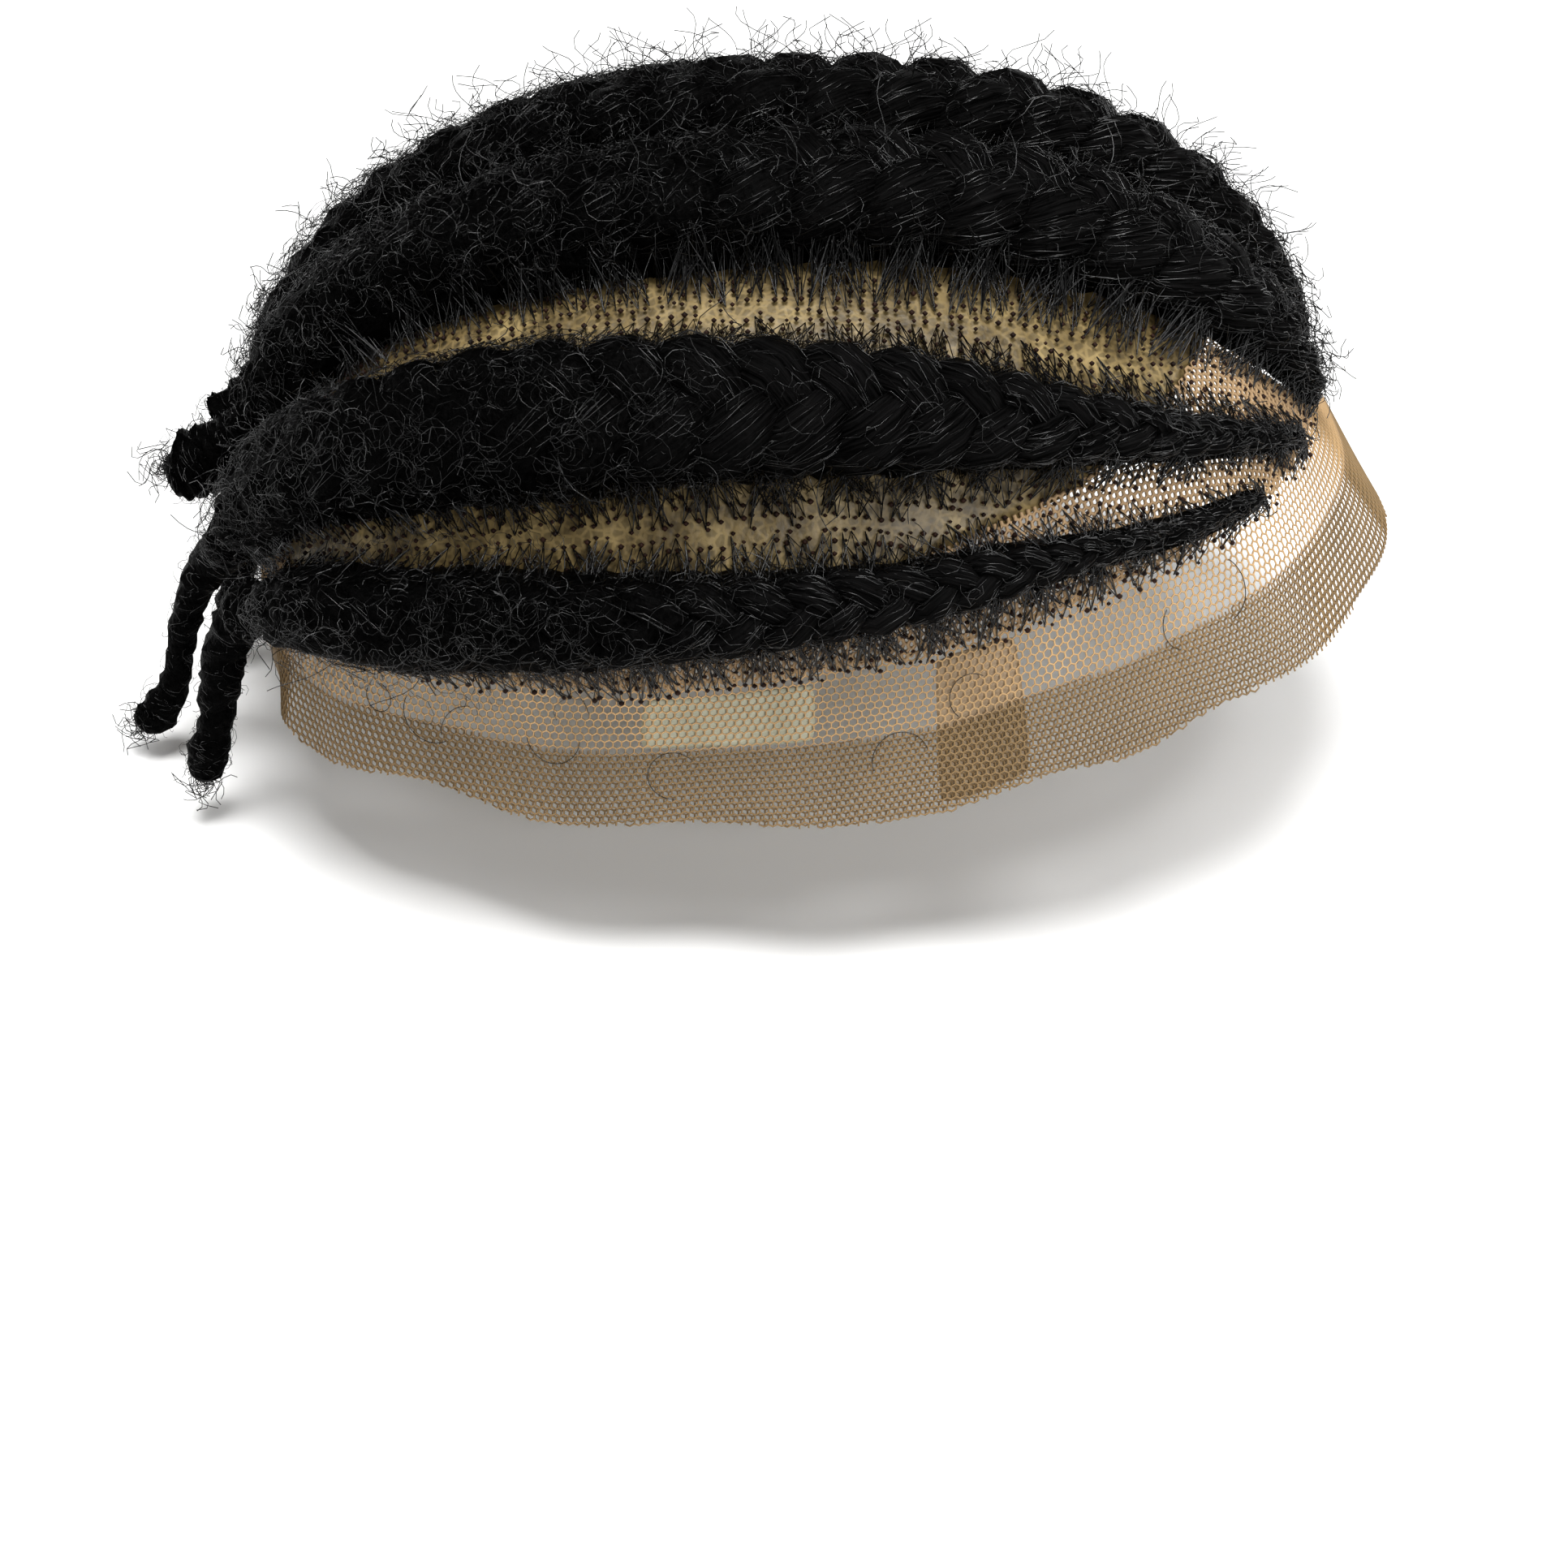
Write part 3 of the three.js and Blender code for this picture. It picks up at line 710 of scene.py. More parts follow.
def addFibres(bundle, row, chance):
    wanted = fibre["count"][row["name"]]
    length = row["travel"][-1]
    tries = wanted * fibre["tries"]
    travel = chance.uniform(0, length, tries)
    strand = chance.integers(0, plait["strands"], tries)
    angle = chance.uniform(*(half * np.pi for half in fibre["angles"]), tries)
    swell = chance.uniform(*fibre["swell"], tries)
    hidden = np.zeros(tries, bool)
    offset, lift = np.empty(tries), np.empty(tries)
    for own in range(plait["strands"]):
        mine = strand == own
        centreOffset, centreLift, wide, high = strandPlace(row, own, travel[mine])
        offset[mine] = centreOffset + wide * swell[mine] * np.cos(angle[mine])
        lift[mine] = centreLift + high * swell[mine] * np.sin(angle[mine])
    for other in range(plait["strands"]):
        centreOffset, centreLift, wide, high = strandPlace(row, other, travel)
        inside = ((offset - centreOffset) / wide) ** 2 + ((lift - centreLift) / high) ** 2 < fibre["hidden"]
        hidden |= inside & (strand != other)
    combed = chance.uniform(0, 1, tries) > fibre["lost"] * backShare(row, travel)
    raised = lift > fibre["foot"] * rowValue(row, "height", travel)
    keep = np.flatnonzero(~hidden & combed & raised)[:wanted]
    count = len(keep)
    size = (rowValue(row, "halfWidth", travel[keep]) / row["halfWidth"].max()) ** fibre["lengthPower"]
    reach = chance.uniform(*fibre["length"], count) * size
    share = np.linspace(-0.5, 0.5, fibre["points"])
    places = np.clip(travel[keep][:, None] + reach[:, None] * share, 0, length)
    turns = angle[keep][:, None] + chance.normal(0, fibre["twist"], count)[:, None] * share
    arch = swell[keep][:, None] + fibre["rise"] - fibre["sink"] * share ** 2
    paths = np.empty((count, fibre["points"], 3))
    for own in range(plait["strands"]):
        mine = strand[keep] == own
        paths[mine] = strandSurface(row, own, places[mine], turns[mine], arch[mine])
    taper = 1 - fibre["taper"] * np.abs(share) ** 2
    thickness = chance.uniform(*fibre["thickness"], count)[:, None] * taper
    addPaths(bundle, paths, thickness, chance.uniform(*fibre["shade"], count))


def surfaceFrame(row, travel, angle):  # a place on the row's form, with its directions along, around and out
    tilt = 0.05
    behind, point, ahead = (
        envelope(row, travel, angle + turn, plait["coreSwell"]) for turn in (-tilt, 0, tilt)
    )
    along = rowValue(row, "along", travel)
    around = unit(ahead - behind)
    along = unit(along - around * (along * around).sum(-1, keepdims=True))
    return point, along, around, np.cross(around, along)


wool = {  # short curls that lie on a row, closer and in clumps towards the back
    "count": {"outer": 700, "middle": 1190, "inner": 1060},
    "tries": 4,
    "span": (0.05, 1),
    "angles": (0.06, 0.94),
    "front": 0.11,  # how close the curls are on the combed front, as a share of the back
    "between": 0.08,  # and between the clumps
    "clumpLength": (2.9, 4.7),
    "clumpTurns": (3, 5.3),
    "clumpSway": 2.2,
    "clumpEdge": (-0.5, 0.3),
    "fullSize": 7,  # half width of a row whose curls are full size
    "leastSize": 0.25,
    "radius": (0.9, 3.4),
    "arc": (1.6, 4.6),  # radians that a curl turns through
    "bow": 1.4,
    "lift": 0.5,
    "droop": 0.018,
    "points": 6,
    "thickness": (0.034, 0.062),
}


def addWoolPaths(bundle, paths, chance):
    count = len(paths)
    addPaths(bundle, paths, chance.uniform(*wool["thickness"], count), chance.uniform(0, 1, count) ** 2)


def addCurls(bundle, spots, size, chance):
    point, along, around, out = spots
    count, share = len(point), np.linspace(0, 1, wool["points"])
    radius = (chance.uniform(*wool["radius"], count) * size)[:, None]
    run = chance.uniform(*wool["arc"], count)[:, None] * radius * share
    sideways, forward = wander(run, drawTurn(chance, count) + run / radius * drawWay(chance, count))
    bow = (chance.uniform(0, wool["bow"], count) * size)[:, None] * np.sin(np.pi * share)
    height = (chance.uniform(0, wool["lift"], count) * size)[:, None] + bow
    height = height - wool["droop"] * (sideways ** 2 + forward ** 2)
    addWoolPaths(bundle, sweepPaths(point, (along, forward), (around, sideways), (out, height)), chance)


def addWool(bundle, row, chance):
    count = wool["count"][row["name"]]
    tries = count * wool["tries"]
    travel = chance.uniform(*wool["span"], tries) * row["travel"][-1]
    angle = chance.uniform(*wool["angles"], tries) * np.pi
    longWave, shortWave = (travel / length for length in wool["clumpLength"])
    fewTurns, manyTurns = (turns * angle for turns in wool["clumpTurns"])
    clump = np.sin(longWave + wool["clumpSway"] * np.sin(fewTurns)) * np.sin(manyTurns + shortWave)
    close = blend(wool["front"], 1, backShare(row, travel))
    close = close * blend(wool["between"], 1, smoothStep(*wool["clumpEdge"], clump))
    keep = np.flatnonzero(chance.uniform(0, 1, tries) < close)[:count]
    travel, angle = travel[keep], angle[keep]
    size = np.clip(rowValue(row, "halfWidth", travel) / wool["fullSize"], wool["leastSize"], 1)
    addCurls(bundle, surfaceFrame(row, travel, angle), size, chance)


spill = {  # wool that closes the partings near the rows' back ends
    "count": {"outer": 170, "middle": 210, "inner": 140},
    "span": 0.36,
    "spanPower": 1.4,
    "reach": 6.2,
    "out": (-0.2, 1),
    "lift": (0.2, 3.5),
}


def addSpill(bundle, row, chance):
    count = spill["count"][row["name"]]
    travel = row["travel"][-1] * (1 - spill["span"] * chance.uniform(0, 1, count) ** spill["spanPower"])
    hand = chance.choice([-1, 1], count)
    offset = rowValue(row, "halfWidth", travel) + spill["reach"] * chance.uniform(*spill["out"], count)
    point, out = rowPoints(row, travel, hand * offset, chance.uniform(*spill["lift"], count))
    along = rowValue(row, "along", travel)
    addCurls(bundle, (point, along, unit(np.cross(out, along)), out), 1.0, chance)


frizz = {  # loose curls that stand off the row
    "count": {"outer": 120, "middle": 225, "inner": 640},
    "points": 8,
    "span": (0.02, 1),
    "spanPower": 1.25,
    "angles": (0.12, 0.88),
    "reach": (1.5, 9.0),
    "reachPower": 1.3,
    "sizePower": 0.5,
    "curl": (0.7, 3.0),
    "curlPower": 0.7,
    "turns": (0.5, 1.3),
    "drift": 0.6,
    "thickness": 0.085,
    "shade": (0, 0.5),
}


def addFrizz(bundle, row, chance):
    count = frizz["count"][row["name"]]
    travel = chance.uniform(*frizz["span"], count) ** frizz["spanPower"] * row["travel"][-1]
    angle = chance.uniform(*frizz["angles"], count) * np.pi
    point, along, around, out = surfaceFrame(row, travel, angle)
    share = np.linspace(0, 1, frizz["points"])
    size = (rowValue(row, "halfWidth", travel) / row["halfWidth"].max()) ** frizz["sizePower"]
    reach = blend(*frizz["reach"], chance.uniform(0, 1, count) ** frizz["reachPower"]) * size
    curl = chance.uniform(*frizz["curl"], count)[:, None] * share ** frizz["curlPower"]
    start, way = drawTurn(chance, count), drawWay(chance, count)
    turn = start + 2 * np.pi * way * (chance.uniform(*frizz["turns"], count)[:, None] * share)
    drift = chance.normal(0, frizz["drift"], (count, 2)) * reach[:, None]
    sideways = curl * np.cos(turn) + drift[:, :1] * share
    forward = curl * np.sin(turn) + drift[:, 1:] * share
    paths = sweepPaths(point, (out, reach[:, None] * share), (along, forward), (around, sideways))
    addPaths(bundle, paths, frizz["thickness"], chance.uniform(*frizz["shade"], count))


rowSeed = 41


def makeRow(side, name):
    row = rows[side, name]
    chance = np.random.default_rng(rowSeed + 10 * list(rows).index((side, name)))
    bundle = newBundle()
    for addPart in (addPlaitCores, addFibres, addWool, addSpill, addFrizz):
        addPart(bundle, row, chance)
    piece = growPiece(f"plaitedRow_{side}_{name}", bundle, strandTree, hairInputs)
    settle(piece, "hair", f"cornrow_{side}_{name}")


for side, name in rows:
    makeRow(side, name)


# Free tails: a small round plait on the route of each, with a fuzzy knob at its end

tailRoutes = {  # from the row's end: along its heading, then down and back
    "hanging": {
        "along": [0.3, 5, 8, 8, 8, 8, 8],
        "down": [0, 0, 7, 15, 24, 31, 36],
        "back": [0, 0, 3.4, 5.2, 7.3, 9.2, 10],
        "radius": [5, 4.6, 3.9, 3.6, 3.1, 3.7, 2.3],
    },
    "curled": {
        "along": [0.3, 5, 8.5, 8.5, 8.5, 8.5, 8.5],
        "down": [0, 0, 6, 16, 26, 34, 37],
        "back": [0, 0, 5.5, 9.2, 11.6, 15.5, 20],
        "radius": [5.2, 4.4, 3.4, 2.7, 2.6, 3.6, 2.7],
    },
    "balled": {
        "along": [0.3, 4, 7, 10, 11, 11],
        "down": [0, 0, 0.5, 1, 1.5, 1.5],
        "back": [0, 0, 2.5, 6, 9.5, 12.5],
        "radius": [5.2, 4.6, 5, 6, 5.6, 3],
    },
}
tails = {  # route and how much of its stand-off each tail keeps
    ("right", "outer"): ("hanging", 1.0),
    ("right", "middle"): ("curled", 1.0),
    ("right", "inner"): ("balled", 1.0),
    ("left", "inner"): ("balled", 0.35),
    ("left", "middle"): ("hanging", 0.6),
    ("left", "outer"): ("hanging", 0.8),
}
tailForm = {
    "seed": 73,
    "steps": 40,
    "sides": 12,
    "root": 1.2,  # how far back the rounded start begins
    "tipCut": 0.02,
    "knobs": 0.06,  # the plait's lobes, as a share of the radius
    "knobPitch": 5.5,
    "lumps": 0.09,
    "wool": 200,
    "woolSeat": 0.9,  # where the curls start, as a share of the radius
    "woolCurl": (0.6, 2.0),
    "woolTurn": 4.4,
    "woolFlow": 2.0,
    "tipCurls": 36,
    "tipPoints": 9,
    "tipReach": (1.5, 7.0),
    "tipSpread": 0.8,
    "tipLoop": (1.0, 3.2),
    "tipTurn": 7,
}


def tailLine(side, name):  # centres, directions and radii along a tail
    row = rows[side, name]
    routeName, standOff = tails[side, name]
    route = dict(tailRoutes[routeName])
    route["station"] = list(range(len(route["along"])))
    places = np.linspace(0, 1, tailForm["steps"]) * route["station"][-1]
    along, down, back, radius = (
        tableValue(route, "station", column, places) for column in ("along", "down", "back", "radius")
    )
    middle = rowPoints(row, row["travel"][-1], 0.0, rowStations[name]["height"][-1] / 2)[0]
    drop = np.stack([np.zeros_like(down), back * standOff, -down], -1)
    centre = middle + row["along"][-1] * along[..., None] + drop
    forward = unit(np.gradient(centre, axis=0))
    outward = unit(np.cross([1.0, 0, 0], forward))
    return centre, np.cross(forward, outward), outward, forward, radius


def addTailCore(bundle, line, chance):
    centre, across, outward, _, radius = line
    travel = pathLength(centre)
    fromStart = np.clip((travel + tailForm["root"]) / radius[0], 0, 1)
    fromTip = np.clip((travel[-1] - travel) / radius[-1], tailForm["tipCut"], 1)
    angle = np.linspace(2 * np.pi, 0, tailForm["sides"], endpoint=False)
    knobs = tailForm["knobs"] * np.sin(2 * np.pi * travel[:, None] / tailForm["knobPitch"] + angle)
    lumps = drawLumps(chance, knobs.shape, tailForm["lumps"])
    ends = np.sqrt(fromTip * (2 - fromTip) * fromStart * (2 - fromStart))
    reach = (radius * ends)[:, None] * (1 + knobs + lumps)
    ring = across[:, None] * np.cos(angle)[:, None] + outward[:, None] * np.sin(angle)[:, None]
    sections = centre[:, None] + ring * reach[..., None]
    addTube(bundle, sections, 1.0, np.zeros_like(sections))


def addTailWool(bundle, line, chance):
    centre, across, outward, forward, radius = line
    count = tailForm["wool"]
    girth = radius[1:-1] ** 2
    where = 1 + chance.choice(len(girth), count, p=girth / girth.sum())
    angle = chance.uniform(0, 2 * np.pi, count)
    side = across[where] * np.cos(angle)[:, None] + outward[where] * np.sin(angle)[:, None]
    start = centre[where] + side * radius[where][:, None] * tailForm["woolSeat"]
    share = np.linspace(0, 1, wool["points"])
    curl = (chance.uniform(*tailForm["woolCurl"], count) * radius[where] / radius.mean())[:, None]
    turn = drawTurn(chance, count) + drawWay(chance, count) * tailForm["woolTurn"] * share
    flow = chance.normal(0, tailForm["woolFlow"], count)[:, None] * share
    around = unit(np.cross(forward[where], side))
    out = curl * (0.5 + 0.5 * np.sin(turn))
    paths = sweepPaths(start, (side, out), (around, curl * np.cos(turn)), (forward[where], flow))
    addWoolPaths(bundle, paths, chance)


def addTipCurls(bundle, line, chance):
    centre, _, _, forward, _ = line
    count, share = tailForm["tipCurls"], np.linspace(0, 1, tailForm["tipPoints"])
    reach = chance.uniform(*tailForm["tipReach"], count)[:, None] * share
    heading = unit(forward[-1] + chance.normal(0, tailForm["tipSpread"], (count, 3)))
    aside = unit(np.cross(heading, [0.3, 0.5, 0.81]))
    curl = chance.uniform(*tailForm["tipLoop"], count)[:, None] * share ** frizz["curlPower"]
    turn = drawTurn(chance, count) + tailForm["tipTurn"] * share
    loop = (aside, curl * np.cos(turn)), (np.cross(heading, aside), curl * np.sin(turn))
    paths = sweepPaths(centre[-3:-2], (heading, reach), *loop)
    addPaths(bundle, paths, frizz["thickness"], chance.uniform(*frizz["shade"], count))


def makeTail(side, name):
    chance = np.random.default_rng(tailForm["seed"] + 10 * list(tails).index((side, name)))
    bundle = newBundle()
    line = tailLine(side, name)
    for addPart in (addTailCore, addTailWool, addTipCurls):
        addPart(bundle, line, chance)
    piece = growPiece(f"braidTail_{side}_{name}", bundle, strandTree, hairInputs)
    settle(piece, "hair", f"braid_tail_{side}_{name}")


for side, name in tails:
    makeTail(side, name)


# Lace: an open net of hexagonal cells, as one sheet for the border, one along the hem and one in the partings

net = {
    "pitch": 1.43,  # across one cell
    "thread": 0.19,  # half the thread's width
    "overlap": 1.1,  # degrees that the border runs in under the hair
    "borderRows": 34,
    "borderTop": -1.0,
    "lift": -0.15,
    "bandTop": 0.42,  # share of the border where the doubled hem and its painted shade begin
    "bandBlend": 0.04,
    "bandLift": -0.5,
    "bandShift": 0.37,  # in cells
    "crownPitch": 1.3,
    "crownThread": 0.35,
    "crownHalf": 125.0,
    "crownShade": 0.5,
    "crownInset": 0.4,  # degrees short of the hairline
    "underRow": 0.4,  # how far the net of the partings goes in under a row
    "overFilm": 0.6,  # degrees that it runs on over the film, whose own surface shows it from there
}


def honeycomb(columns, rowCount, pitch, closed):  # plane corners of the cells, and the threads between them
    strut = pitch / math.sqrt(3)
    across, down = np.meshgrid(np.arange(columns * 2), np.arange(rowCount))
    low = np.where((across + down) % 2 == 0, 1.0, -1.0)
    points = np.stack([across * pitch / 2, down * 1.5 * strut + low * strut / 4], -1).reshape(-1, 2)
    index = np.arange(points.shape[0]).reshape(rowCount, columns * 2)
    zigzag = np.stack([index, np.roll(index, -1, axis=1)], -1)
    if not closed:
        zigzag = zigzag[:, :-1]
    ties = np.stack([index[:-1], index[1:]], -1)[low[:-1] > 0]
    return points, np.concatenate([zigzag.reshape(-1, 2), ties.reshape(-1, 2)])


def makeNet(name, points, edges, thread, shade):
    bundle = newBundle()
    used, renumbered = np.unique(edges, return_inverse=True)
    start = addToBundle(bundle, points[used], True, thread, np.broadcast_to(shade, len(points))[used])
    bundle["edges"].append(start + renumbered.reshape(-1, 2))
    settle(growPiece(name, bundle, strandTree, laceInputs), "lace", "lace_base")


def makeBorderNet(name, topShare, lift, shift):
    azimuthOf = np.linspace(0, 360, 721)
    travel = pathLength(capPoints(azimuthOf, borderDown(azimuthOf, 0.5), 0.0)[0])
    columns = int(round(travel[-1] / net["pitch"]))
    pitch = travel[-1] / columns
    degree = math.radians(1) * domeForm["height"]  # millimetres down for one degree
    points, edges = honeycomb(columns, net["borderRows"], pitch, True)
    azimuth = np.interp(np.mod(points[:, 0] + shift * pitch, travel[-1]), travel, azimuthOf)
    down = capEdge("hairline", azimuth) - net["overlap"] + (points[:, 1] + shift * pitch) / degree
    share = borderShare(azimuth, down)
    kept = edges[((share[edges] < 1.0) & (share[edges] > topShare)).all(1)]
    # 1 in the hem band, where the lace material paints its darker tone as painted shade
    shade = smoothStep(net["bandTop"] - net["bandBlend"], net["bandTop"] + net["bandBlend"], share)
    makeNet(name, capPoints(azimuth, down, lift)[0], kept, net["thread"], shade)


def rowGap(points, row):  # distance out from a row's edge, negative under it, and the row's nearest station
    clear, nearest = np.empty(len(points)), np.empty(len(points), int)
    batch = 4000
    for first in range(0, len(points), batch):
        chunk = slice(first, first + batch)
        gap = points[chunk, None] - row["seat"]
        reach = np.sqrt((gap * gap).sum(-1)) - row["halfWidth"]
        clear[chunk], nearest[chunk] = reach.min(1), reach.argmin(1)
    return clear, nearest


def crownDirections(plane):  # a flat sheet wrapped on the crown, true along every line from the top
    sectorStep = 5
    azimuths, downs = np.arange(0, 361, sectorStep), np.arange(0, 91)
    grid = domePoints(polarDirections(azimuths[:, None], downs[None, :]), 0.0)[0]
    arcs = np.cumsum(np.linalg.norm(np.diff(grid, axis=1, prepend=grid[:, :1]), axis=-1), axis=1)
    azimuth = np.mod(np.degrees(np.arctan2(plane[:, 0], plane[:, 1])), 360)
    reach = np.linalg.norm(plane, axis=1)
    place = azimuth / sectorStep
    first = np.minimum(place.astype(int), len(azimuths) - 2)
    share = place - first
    down = np.empty(len(plane))
    for sector in range(len(azimuths) - 1):
        mine = first == sector
        near, far = (np.interp(reach[mine], arcs[side], downs) for side in (sector, sector + 1))
        down[mine] = blend(near, far, share[mine])
    return azimuth, down


def makeCrownNet():
    half, pitch = net["crownHalf"], net["crownPitch"]
    points, edges = honeycomb(int(2 * half / pitch), int(2 * half / (pitch * math.sqrt(3) / 2)), pitch, False)
    azimuth, down = crownDirections(points - half)
    inside = down < capEdge("hairline", azimuth) - net["crownInset"]
    inside &= down > capEdge("film", azimuth) - net["overFilm"]
    edges = edges[inside[edges].all(1)]
    spots = domePoints(polarDirections(azimuth, down), net["lift"])[0]
    middles = spots[edges].mean(1)
    clear = np.min([rowGap(middles, row)[0] for row in rows.values()], axis=0)
    makeNet("laceCrown", spots, edges[clear > -net["underRow"]], net["crownThread"], net["crownShade"])


makeBorderNet("laceBorder", net["borderTop"], net["lift"], 0.0)
makeBorderNet("laceHem", net["bandTop"], net["bandLift"], net["bandShift"])
makeCrownNet()


# Film under the crown, and the tape tabs under the border

film = {
    "lifts": (-0.8, -1.4),  # outer and inner side
    "sectors": 84,
    "rings": 28,
    "crinkle": 0.08,
    "folds": ((9, 0.21), (4, 0.55), (23, -0.9)),  # waves round the crown, and radians for a degree down
}


def makeSkin(name, points, faces, material):
    mesh = bpy.data.meshes.new(name)
    mesh.from_pydata(toPart(points).tolist(), [], faces)
    mesh.materials.append(material)
    mesh.shade_smooth()
    print("made", name, len(faces), "faces")
    return placeObject(name, mesh)


def makeFilm():
    sectors, rings = film["sectors"], film["rings"]
    azimuth = np.arange(sectors) * 360 / sectors
    turn = np.radians(azimuth)
    points, faces = [], []
    for lift, order in zip(film["lifts"], (1, -1)):
        crown = len(points)
        points.append([0, 0, domeForm["height"] + lift])
        for ring in range(1, rings + 1):
            down = capEdge("film", azimuth) * ring / rings
            broad, cross, fine = (np.sin(waves * turn + slant * down) for waves, slant in film["folds"])
            crinkle = film["crinkle"] * (broad * cross + fine)
            points.extend(domePoints(polarDirections(azimuth, down), lift + crinkle)[0].tolist())
            lower = crown + 1 + (ring - 1) * sectors
            for sector in range(sectors):
                ahead = (sector + 1) % sectors
                face = [lower - sectors + sector, lower - sectors + ahead, lower + ahead, lower + sector]
                if ring == 1:
                    face[:2] = [crown]
                faces.append(face[::order])
    outerRim, innerRim = 1 + (rings - 1) * sectors, 2 + (2 * rings - 1) * sectors
    for sector in range(sectors):
        ahead = (sector + 1) % sectors
        faces.append([outerRim + sector, outerRim + ahead, innerRim + ahead, innerRim + sector])
    settle(makeSkin("crownFilm", np.array(points), faces, filmMaterial), "film", "crown_film")


tabs = {  # azimuths and border shares of each tape tab
    "side": {"azimuths": (90, 111), "shares": (0.05, 0.42), "tape": "pale"},
    "temple": {"azimuths": (65, 75), "shares": (0.02, 0.95), "tape": "brown"},
}
tabSkin = {"lifts": (-0.75, -1.25), "across": 20, "down": 12, "corner": 0.1}


def makeTab(name, tab):
    across, down = np.meshgrid(*(np.linspace(-1, 1, tabSkin[way] + 1) for way in ("across", "down")))
    azimuth, share = (
        (low + high) / 2 + (high - low) / 2 * (own * np.sqrt(1 - tabSkin["corner"] * other ** 4))
        for (low, high), own, other in ((tab["azimuths"], across, down), (tab["shares"], down, across))
    )
    fall = borderDown(azimuth, share)
    skins = [capPoints(azimuth, fall, lift)[0].reshape(-1, 3) for lift in tabSkin["lifts"]]
    index = np.arange(across.size).reshape(across.shape)
    quads = np.stack([index[:-1, :-1], index[:-1, 1:], index[1:, 1:], index[1:, :-1]], -1).reshape(-1, 4)
    rim = np.concatenate([index[0, :-1], index[:-1, -1], index[-1, :0:-1], index[:0:-1, 0]])
    inner = across.size
    faces = quads.tolist() + (quads + inner)[:, ::-1].tolist()
    for near, far in zip(rim.tolist(), np.roll(rim, -1).tolist()):
        faces.append([far, near, near + inner, far + inner])
    piece = makeSkin(f"tapeTab_{name}", np.concatenate(skins), faces, tapeMaterials[tab["tape"]])
    settle(piece, tab["tape"] + "_tape", f"tape_tab_{name}")


makeFilm()
for name, tab in tabs.items():
    makeTab(name, tab)


# Roots: a knot on the net for each small lock, and the hairs that run from it to the nearest row

knots = {
    "seed": 97,
    "step": 2.07,  # between knots
    "scatter": 0.14,
    "pastHairline": 1.0,  # degrees
    "nearest": 0.3,  # millimetres out from the row's edge
    "farthest": 11.0,
    "hairlineReach": 7.4,
    "partLine": 0.45,  # bare strip along a parting's middle
    "size": (0.36, 0.62),
    "hairs": 3,
}
rootHair = {  # from a knot up into the row
    "gather": (0.2, 0.9),  # how far a hair leans to the middle of the nearest lobe
    "scatter": 2.2,
    "climb": (0.1, 0.5),  # in heights of the row
    "thickness": (0.08, 0.13),
    "shade": (0.3, 0.8),
}
thatch = {  # the short hairs along a row's foot, in tufts: reach is past its edge, at the front and back
    "count": {"outer": 310, "middle": 430, "inner": 400},
    "spanPower": 0.8,
    "reach": {"outer": (2.5, 4.2), "middle": (2.5, 3.8), "inner": (2.7, 3.1)},
    "out": (-0.4, 1),
    "tufts": (0.8, 0.55),
    "tuftTurns": (0.53, 1.21),
    "gather": (-0.2, 0.7),
    "scatter": 1.6,
    "climb": (0.3, 0.7),
    "thickness": (0.07, 0.12),
    "shade": (0.3, 1),
}
flank = {"points": 3, "end": (0.7, 0.95), "rise": (0.1, 0.9), "lean": 1.3, "close": 1.2, "climbPower": 1.6}
stray = {  # long single hairs that lie over the lace border
    "count": 9,
    "points": 22,
    "azimuths": (18, 160),
    "shares": (0.1, 0.55),
    "length": (8.0, 22.0),
    "radius": (2.5, 7.0),
    "lift": 0.4,
    "shade": 0.2,
}


def rootSites(chance):  # knots scattered over the partings and the hairline, shared out to the nearest row
    marks = np.arange(-net["crownHalf"], net["crownHalf"], knots["step"])
    plane = np.stack(np.meshgrid(marks, marks), -1).reshape(-1, 2)
    azimuth, down = crownDirections(plane + chance.normal(0, knots["scatter"] * knots["step"], plane.shape))
    onCap = down < capEdge("hairline", azimuth) + knots["pastHairline"]
    points = domePoints(polarDirections(azimuth, down), 0.0)[0][onCap]
    gaps = [rowGap(points, row) for row in rows.values()]
    clear = np.array([gap[0] for gap in gaps])
    owner = clear.argmin(0)
    first, second = np.sort(clear, axis=0)[:2]
    limit = np.where(second < 2 * knots["farthest"], knots["farthest"], knots["hairlineReach"])
    fits = (first > knots["nearest"]) & (first < limit) & (second - first > knots["partLine"])
    sites = {}
    for number, (key, row) in enumerate(rows.items()):
        mine = fits & (owner == number)
        station = gaps[number][1][mine]
        hand = np.sign(((points[mine] - row["seat"][station]) * row["across"][station]).sum(-1))
        sites[key] = (row["travel"][station], first[mine], hand, points[mine])
    return sites


def addFlankHairs(bundle, row, hand, travel, out, kind, chance):  # from beside a row up into its flank
    count, length, pitch = len(travel), row["travel"][-1], plait["pitch"][row["name"]]
    gather = (np.round(travel / pitch) - travel / pitch) * pitch * chance.uniform(*kind["gather"], count)
    end = np.clip(travel + gather + chance.normal(0, kind["scatter"], count), 0, length)
    halfWidth, height = rowForm(row, travel)
    share = np.linspace(0, 1, flank["points"])
    endOffset = rowValue(row, "halfWidth", end) * chance.uniform(*flank["end"], count)
    endLift = height * chance.uniform(*kind["climb"], count)
    places = travel[:, None] + (end - travel)[:, None] * share ** flank["lean"]
    closed = share ** flank["close"]
    offset = (halfWidth + out)[:, None] * (1 - closed) + endOffset[:, None] * closed
    rise = chance.uniform(*flank["rise"], count)[:, None] * np.sin(np.pi * share)
    lift = endLift[:, None] * share ** flank["climbPower"] + rise - hairGap * (1 - share)
    paths = rowPoints(row, places, hand * offset, lift)[0]
    thickness = chance.uniform(*kind["thickness"], count)
    addPaths(bundle, paths, thickness, chance.uniform(*kind["shade"], count))


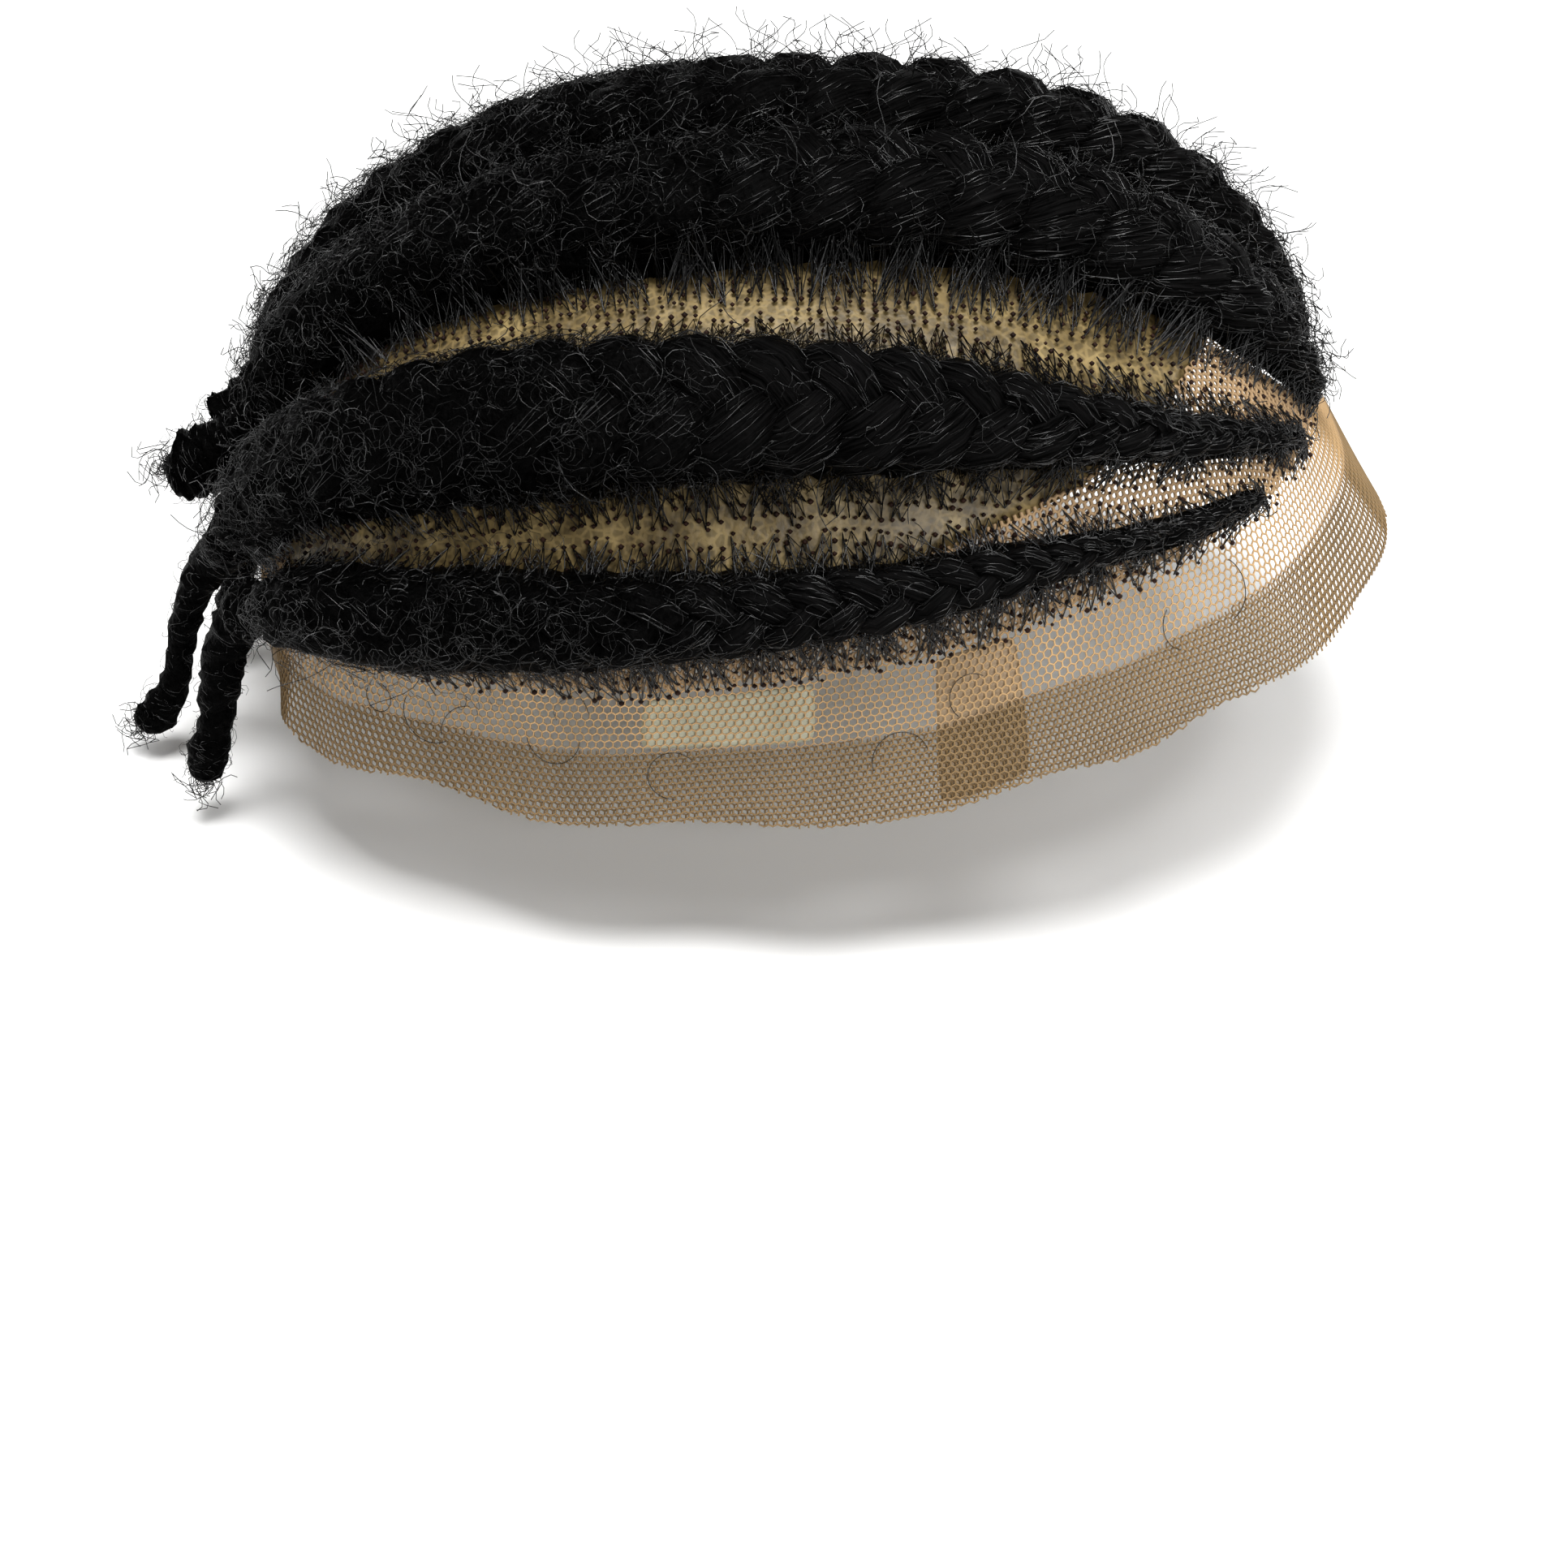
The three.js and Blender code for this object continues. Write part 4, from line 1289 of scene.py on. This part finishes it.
def addRoots(row, site, hairBundle, knotBundle, chance):
    allTravel, allOut, allHands, allPoints = site
    addToBundle(knotBundle, allPoints, False, chance.uniform(*knots["size"], len(allPoints)), 0.0)
    for hand in (-1, 1):
        mine = allHands == hand
        for _ in range(knots["hairs"]):
            addFlankHairs(hairBundle, row, hand, allTravel[mine], allOut[mine], rootHair, chance)
        count = thatch["count"][row["name"]]
        travel = row["travel"][-1] * chance.uniform(0, 1, count) ** thatch["spanPower"]
        turn = 2 * np.pi * travel / plait["pitch"][row["name"]]
        slow, quick = (turns * turn for turns in thatch["tuftTurns"])
        mean, swing = thatch["tufts"]
        tufts = mean + swing * np.sin(slow + hand) * np.sin(quick)
        reach = blend(*thatch["reach"][row["name"]], backShare(row, travel))
        out = chance.uniform(*thatch["out"], count) * reach * tufts
        addFlankHairs(hairBundle, row, hand, travel, out, thatch, chance)


def addStrays(bundle, hand, chance):
    count = stray["count"]
    azimuth = -hand * chance.uniform(*stray["azimuths"], count)
    share = chance.uniform(*stray["shares"], count)
    run = chance.uniform(*stray["length"], count)[:, None] * np.linspace(0, 1, stray["points"])
    radius = chance.uniform(*stray["radius"], count)[:, None]
    around, below = wander(run, drawTurn(chance, count) + run / radius)
    degree = math.radians(1) * domeForm["back"]
    azimuths = azimuth[:, None] + around / degree
    downs = borderDown(azimuth, share)[:, None] + below / degree
    addPaths(bundle, capPoints(azimuths, downs, stray["lift"])[0], frizz["thickness"], stray["shade"])


def makeRoots():
    chance = np.random.default_rng(knots["seed"])
    sites = rootSites(chance)
    for side, hand in hands.items():
        hairBundle, knotBundle = newBundle(), newBundle()
        for name in rowStations:
            addRoots(rows[side, name], sites[side, name], hairBundle, knotBundle, chance)
        addStrays(hairBundle, hand, chance)
        nodes = [f"cornrow_{side}_{name}" for name in rowStations]
        settle(growPiece(f"rootHairs_{side}", hairBundle, strandTree, hairInputs), "hair", *nodes)
        settle(growPiece(f"rootKnots_{side}", knotBundle, knotTree, knotInputs), "hair", *nodes)


makeRoots()


# Stage

floorForm = {
    "surface": {"Roughness": 0.9},
    "tones": ((0.8471, 0.8471, 0.842175), (0.86, 0.86, 0.855)),
    "toneStops": (0.3, 0.7),
    "mottle": 3,
    "drop": 0.004,
    "half": 40.0,
}


def makeFloor():
    low, half = cadBox[0][2] - floorForm["drop"], floorForm["half"]
    corners = [(-half, -half, low), (half, -half, low), (half, half, low), (-half, half, low)]
    mesh = bpy.data.meshes.new("floor")
    mesh.from_pydata(corners, [], [(0, 1, 2, 3)])
    floor = placeObject("floor", mesh)
    material, tree, shader = newMaterial("paleFloor", floorForm)
    tree.links.new(mottledTone(tree, floorForm, floorForm["tones"]), shader.inputs["Base Color"])
    mesh.materials.append(material)


sky = {"from": (-0.3, 0.0, 2.0), "spread": 25.0, "strength": 4.2, "fill": 0.04}  # even soft light from above
lightAim = (0, 0, -0.05)
lights = {  # place, size and power of each soft light
    "side": ((-1.9, -0.6, 1.0), 0.6, 26.0),
    "front": ((0.3, -2.0, 0.8), 1.2, 18.0),
    "rear": ((0.5, 1.8, 1.0), 1.2, 12.0),
}


def aimObject(name, data, place, direction):
    thing = placeObject(name, data)
    thing.location = place
    thing.rotation_euler = direction.to_track_quat("-Z", "Y").to_euler()
    return thing


def makeLights():
    for name, (place, size, power) in lights.items():
        data = bpy.data.lights.new(name, "AREA")
        data.size = size
        data.energy = power
        aimObject(name, data, place, Vector(lightAim) - Vector(place))
    data = bpy.data.lights.new("sky", "SUN")
    data.angle = math.radians(sky["spread"])
    data.energy = sky["strength"]
    aimObject("sky", data, sky["from"], -Vector(sky["from"]))
    world = bpy.data.worlds.new("studio")
    world.use_nodes = True
    background = world.node_tree.nodes["Background"]
    background.inputs["Color"].default_value = (1, 1, 1, 1)
    background.inputs["Strength"].default_value = sky["fill"]
    bpy.context.scene.world = world


view = {
    "aim": (0.0, 0.005, -0.1231),
    "azimuth": -90.0,
    "elevation": 36.0,
    "distance": 0.62,
    "lens": 74.68,
    "sensor": 36.0,
}


def makeCamera():
    azimuth, elevation = math.radians(view["azimuth"]), math.radians(view["elevation"])
    back = Vector((
        math.sin(azimuth) * math.cos(elevation),
        -math.cos(azimuth) * math.cos(elevation),
        math.sin(elevation),
    ))
    data = bpy.data.cameras.new("camera")
    data.lens = view["lens"]
    data.sensor_width = view["sensor"]
    camera = aimObject("camera", data, Vector(view["aim"]) + back * view["distance"], -back)
    bpy.context.scene.camera = camera


makeFloor()
makeLights()
makeCamera()
bpy.context.scene.view_settings.view_transform = "Standard"
print("stage set")
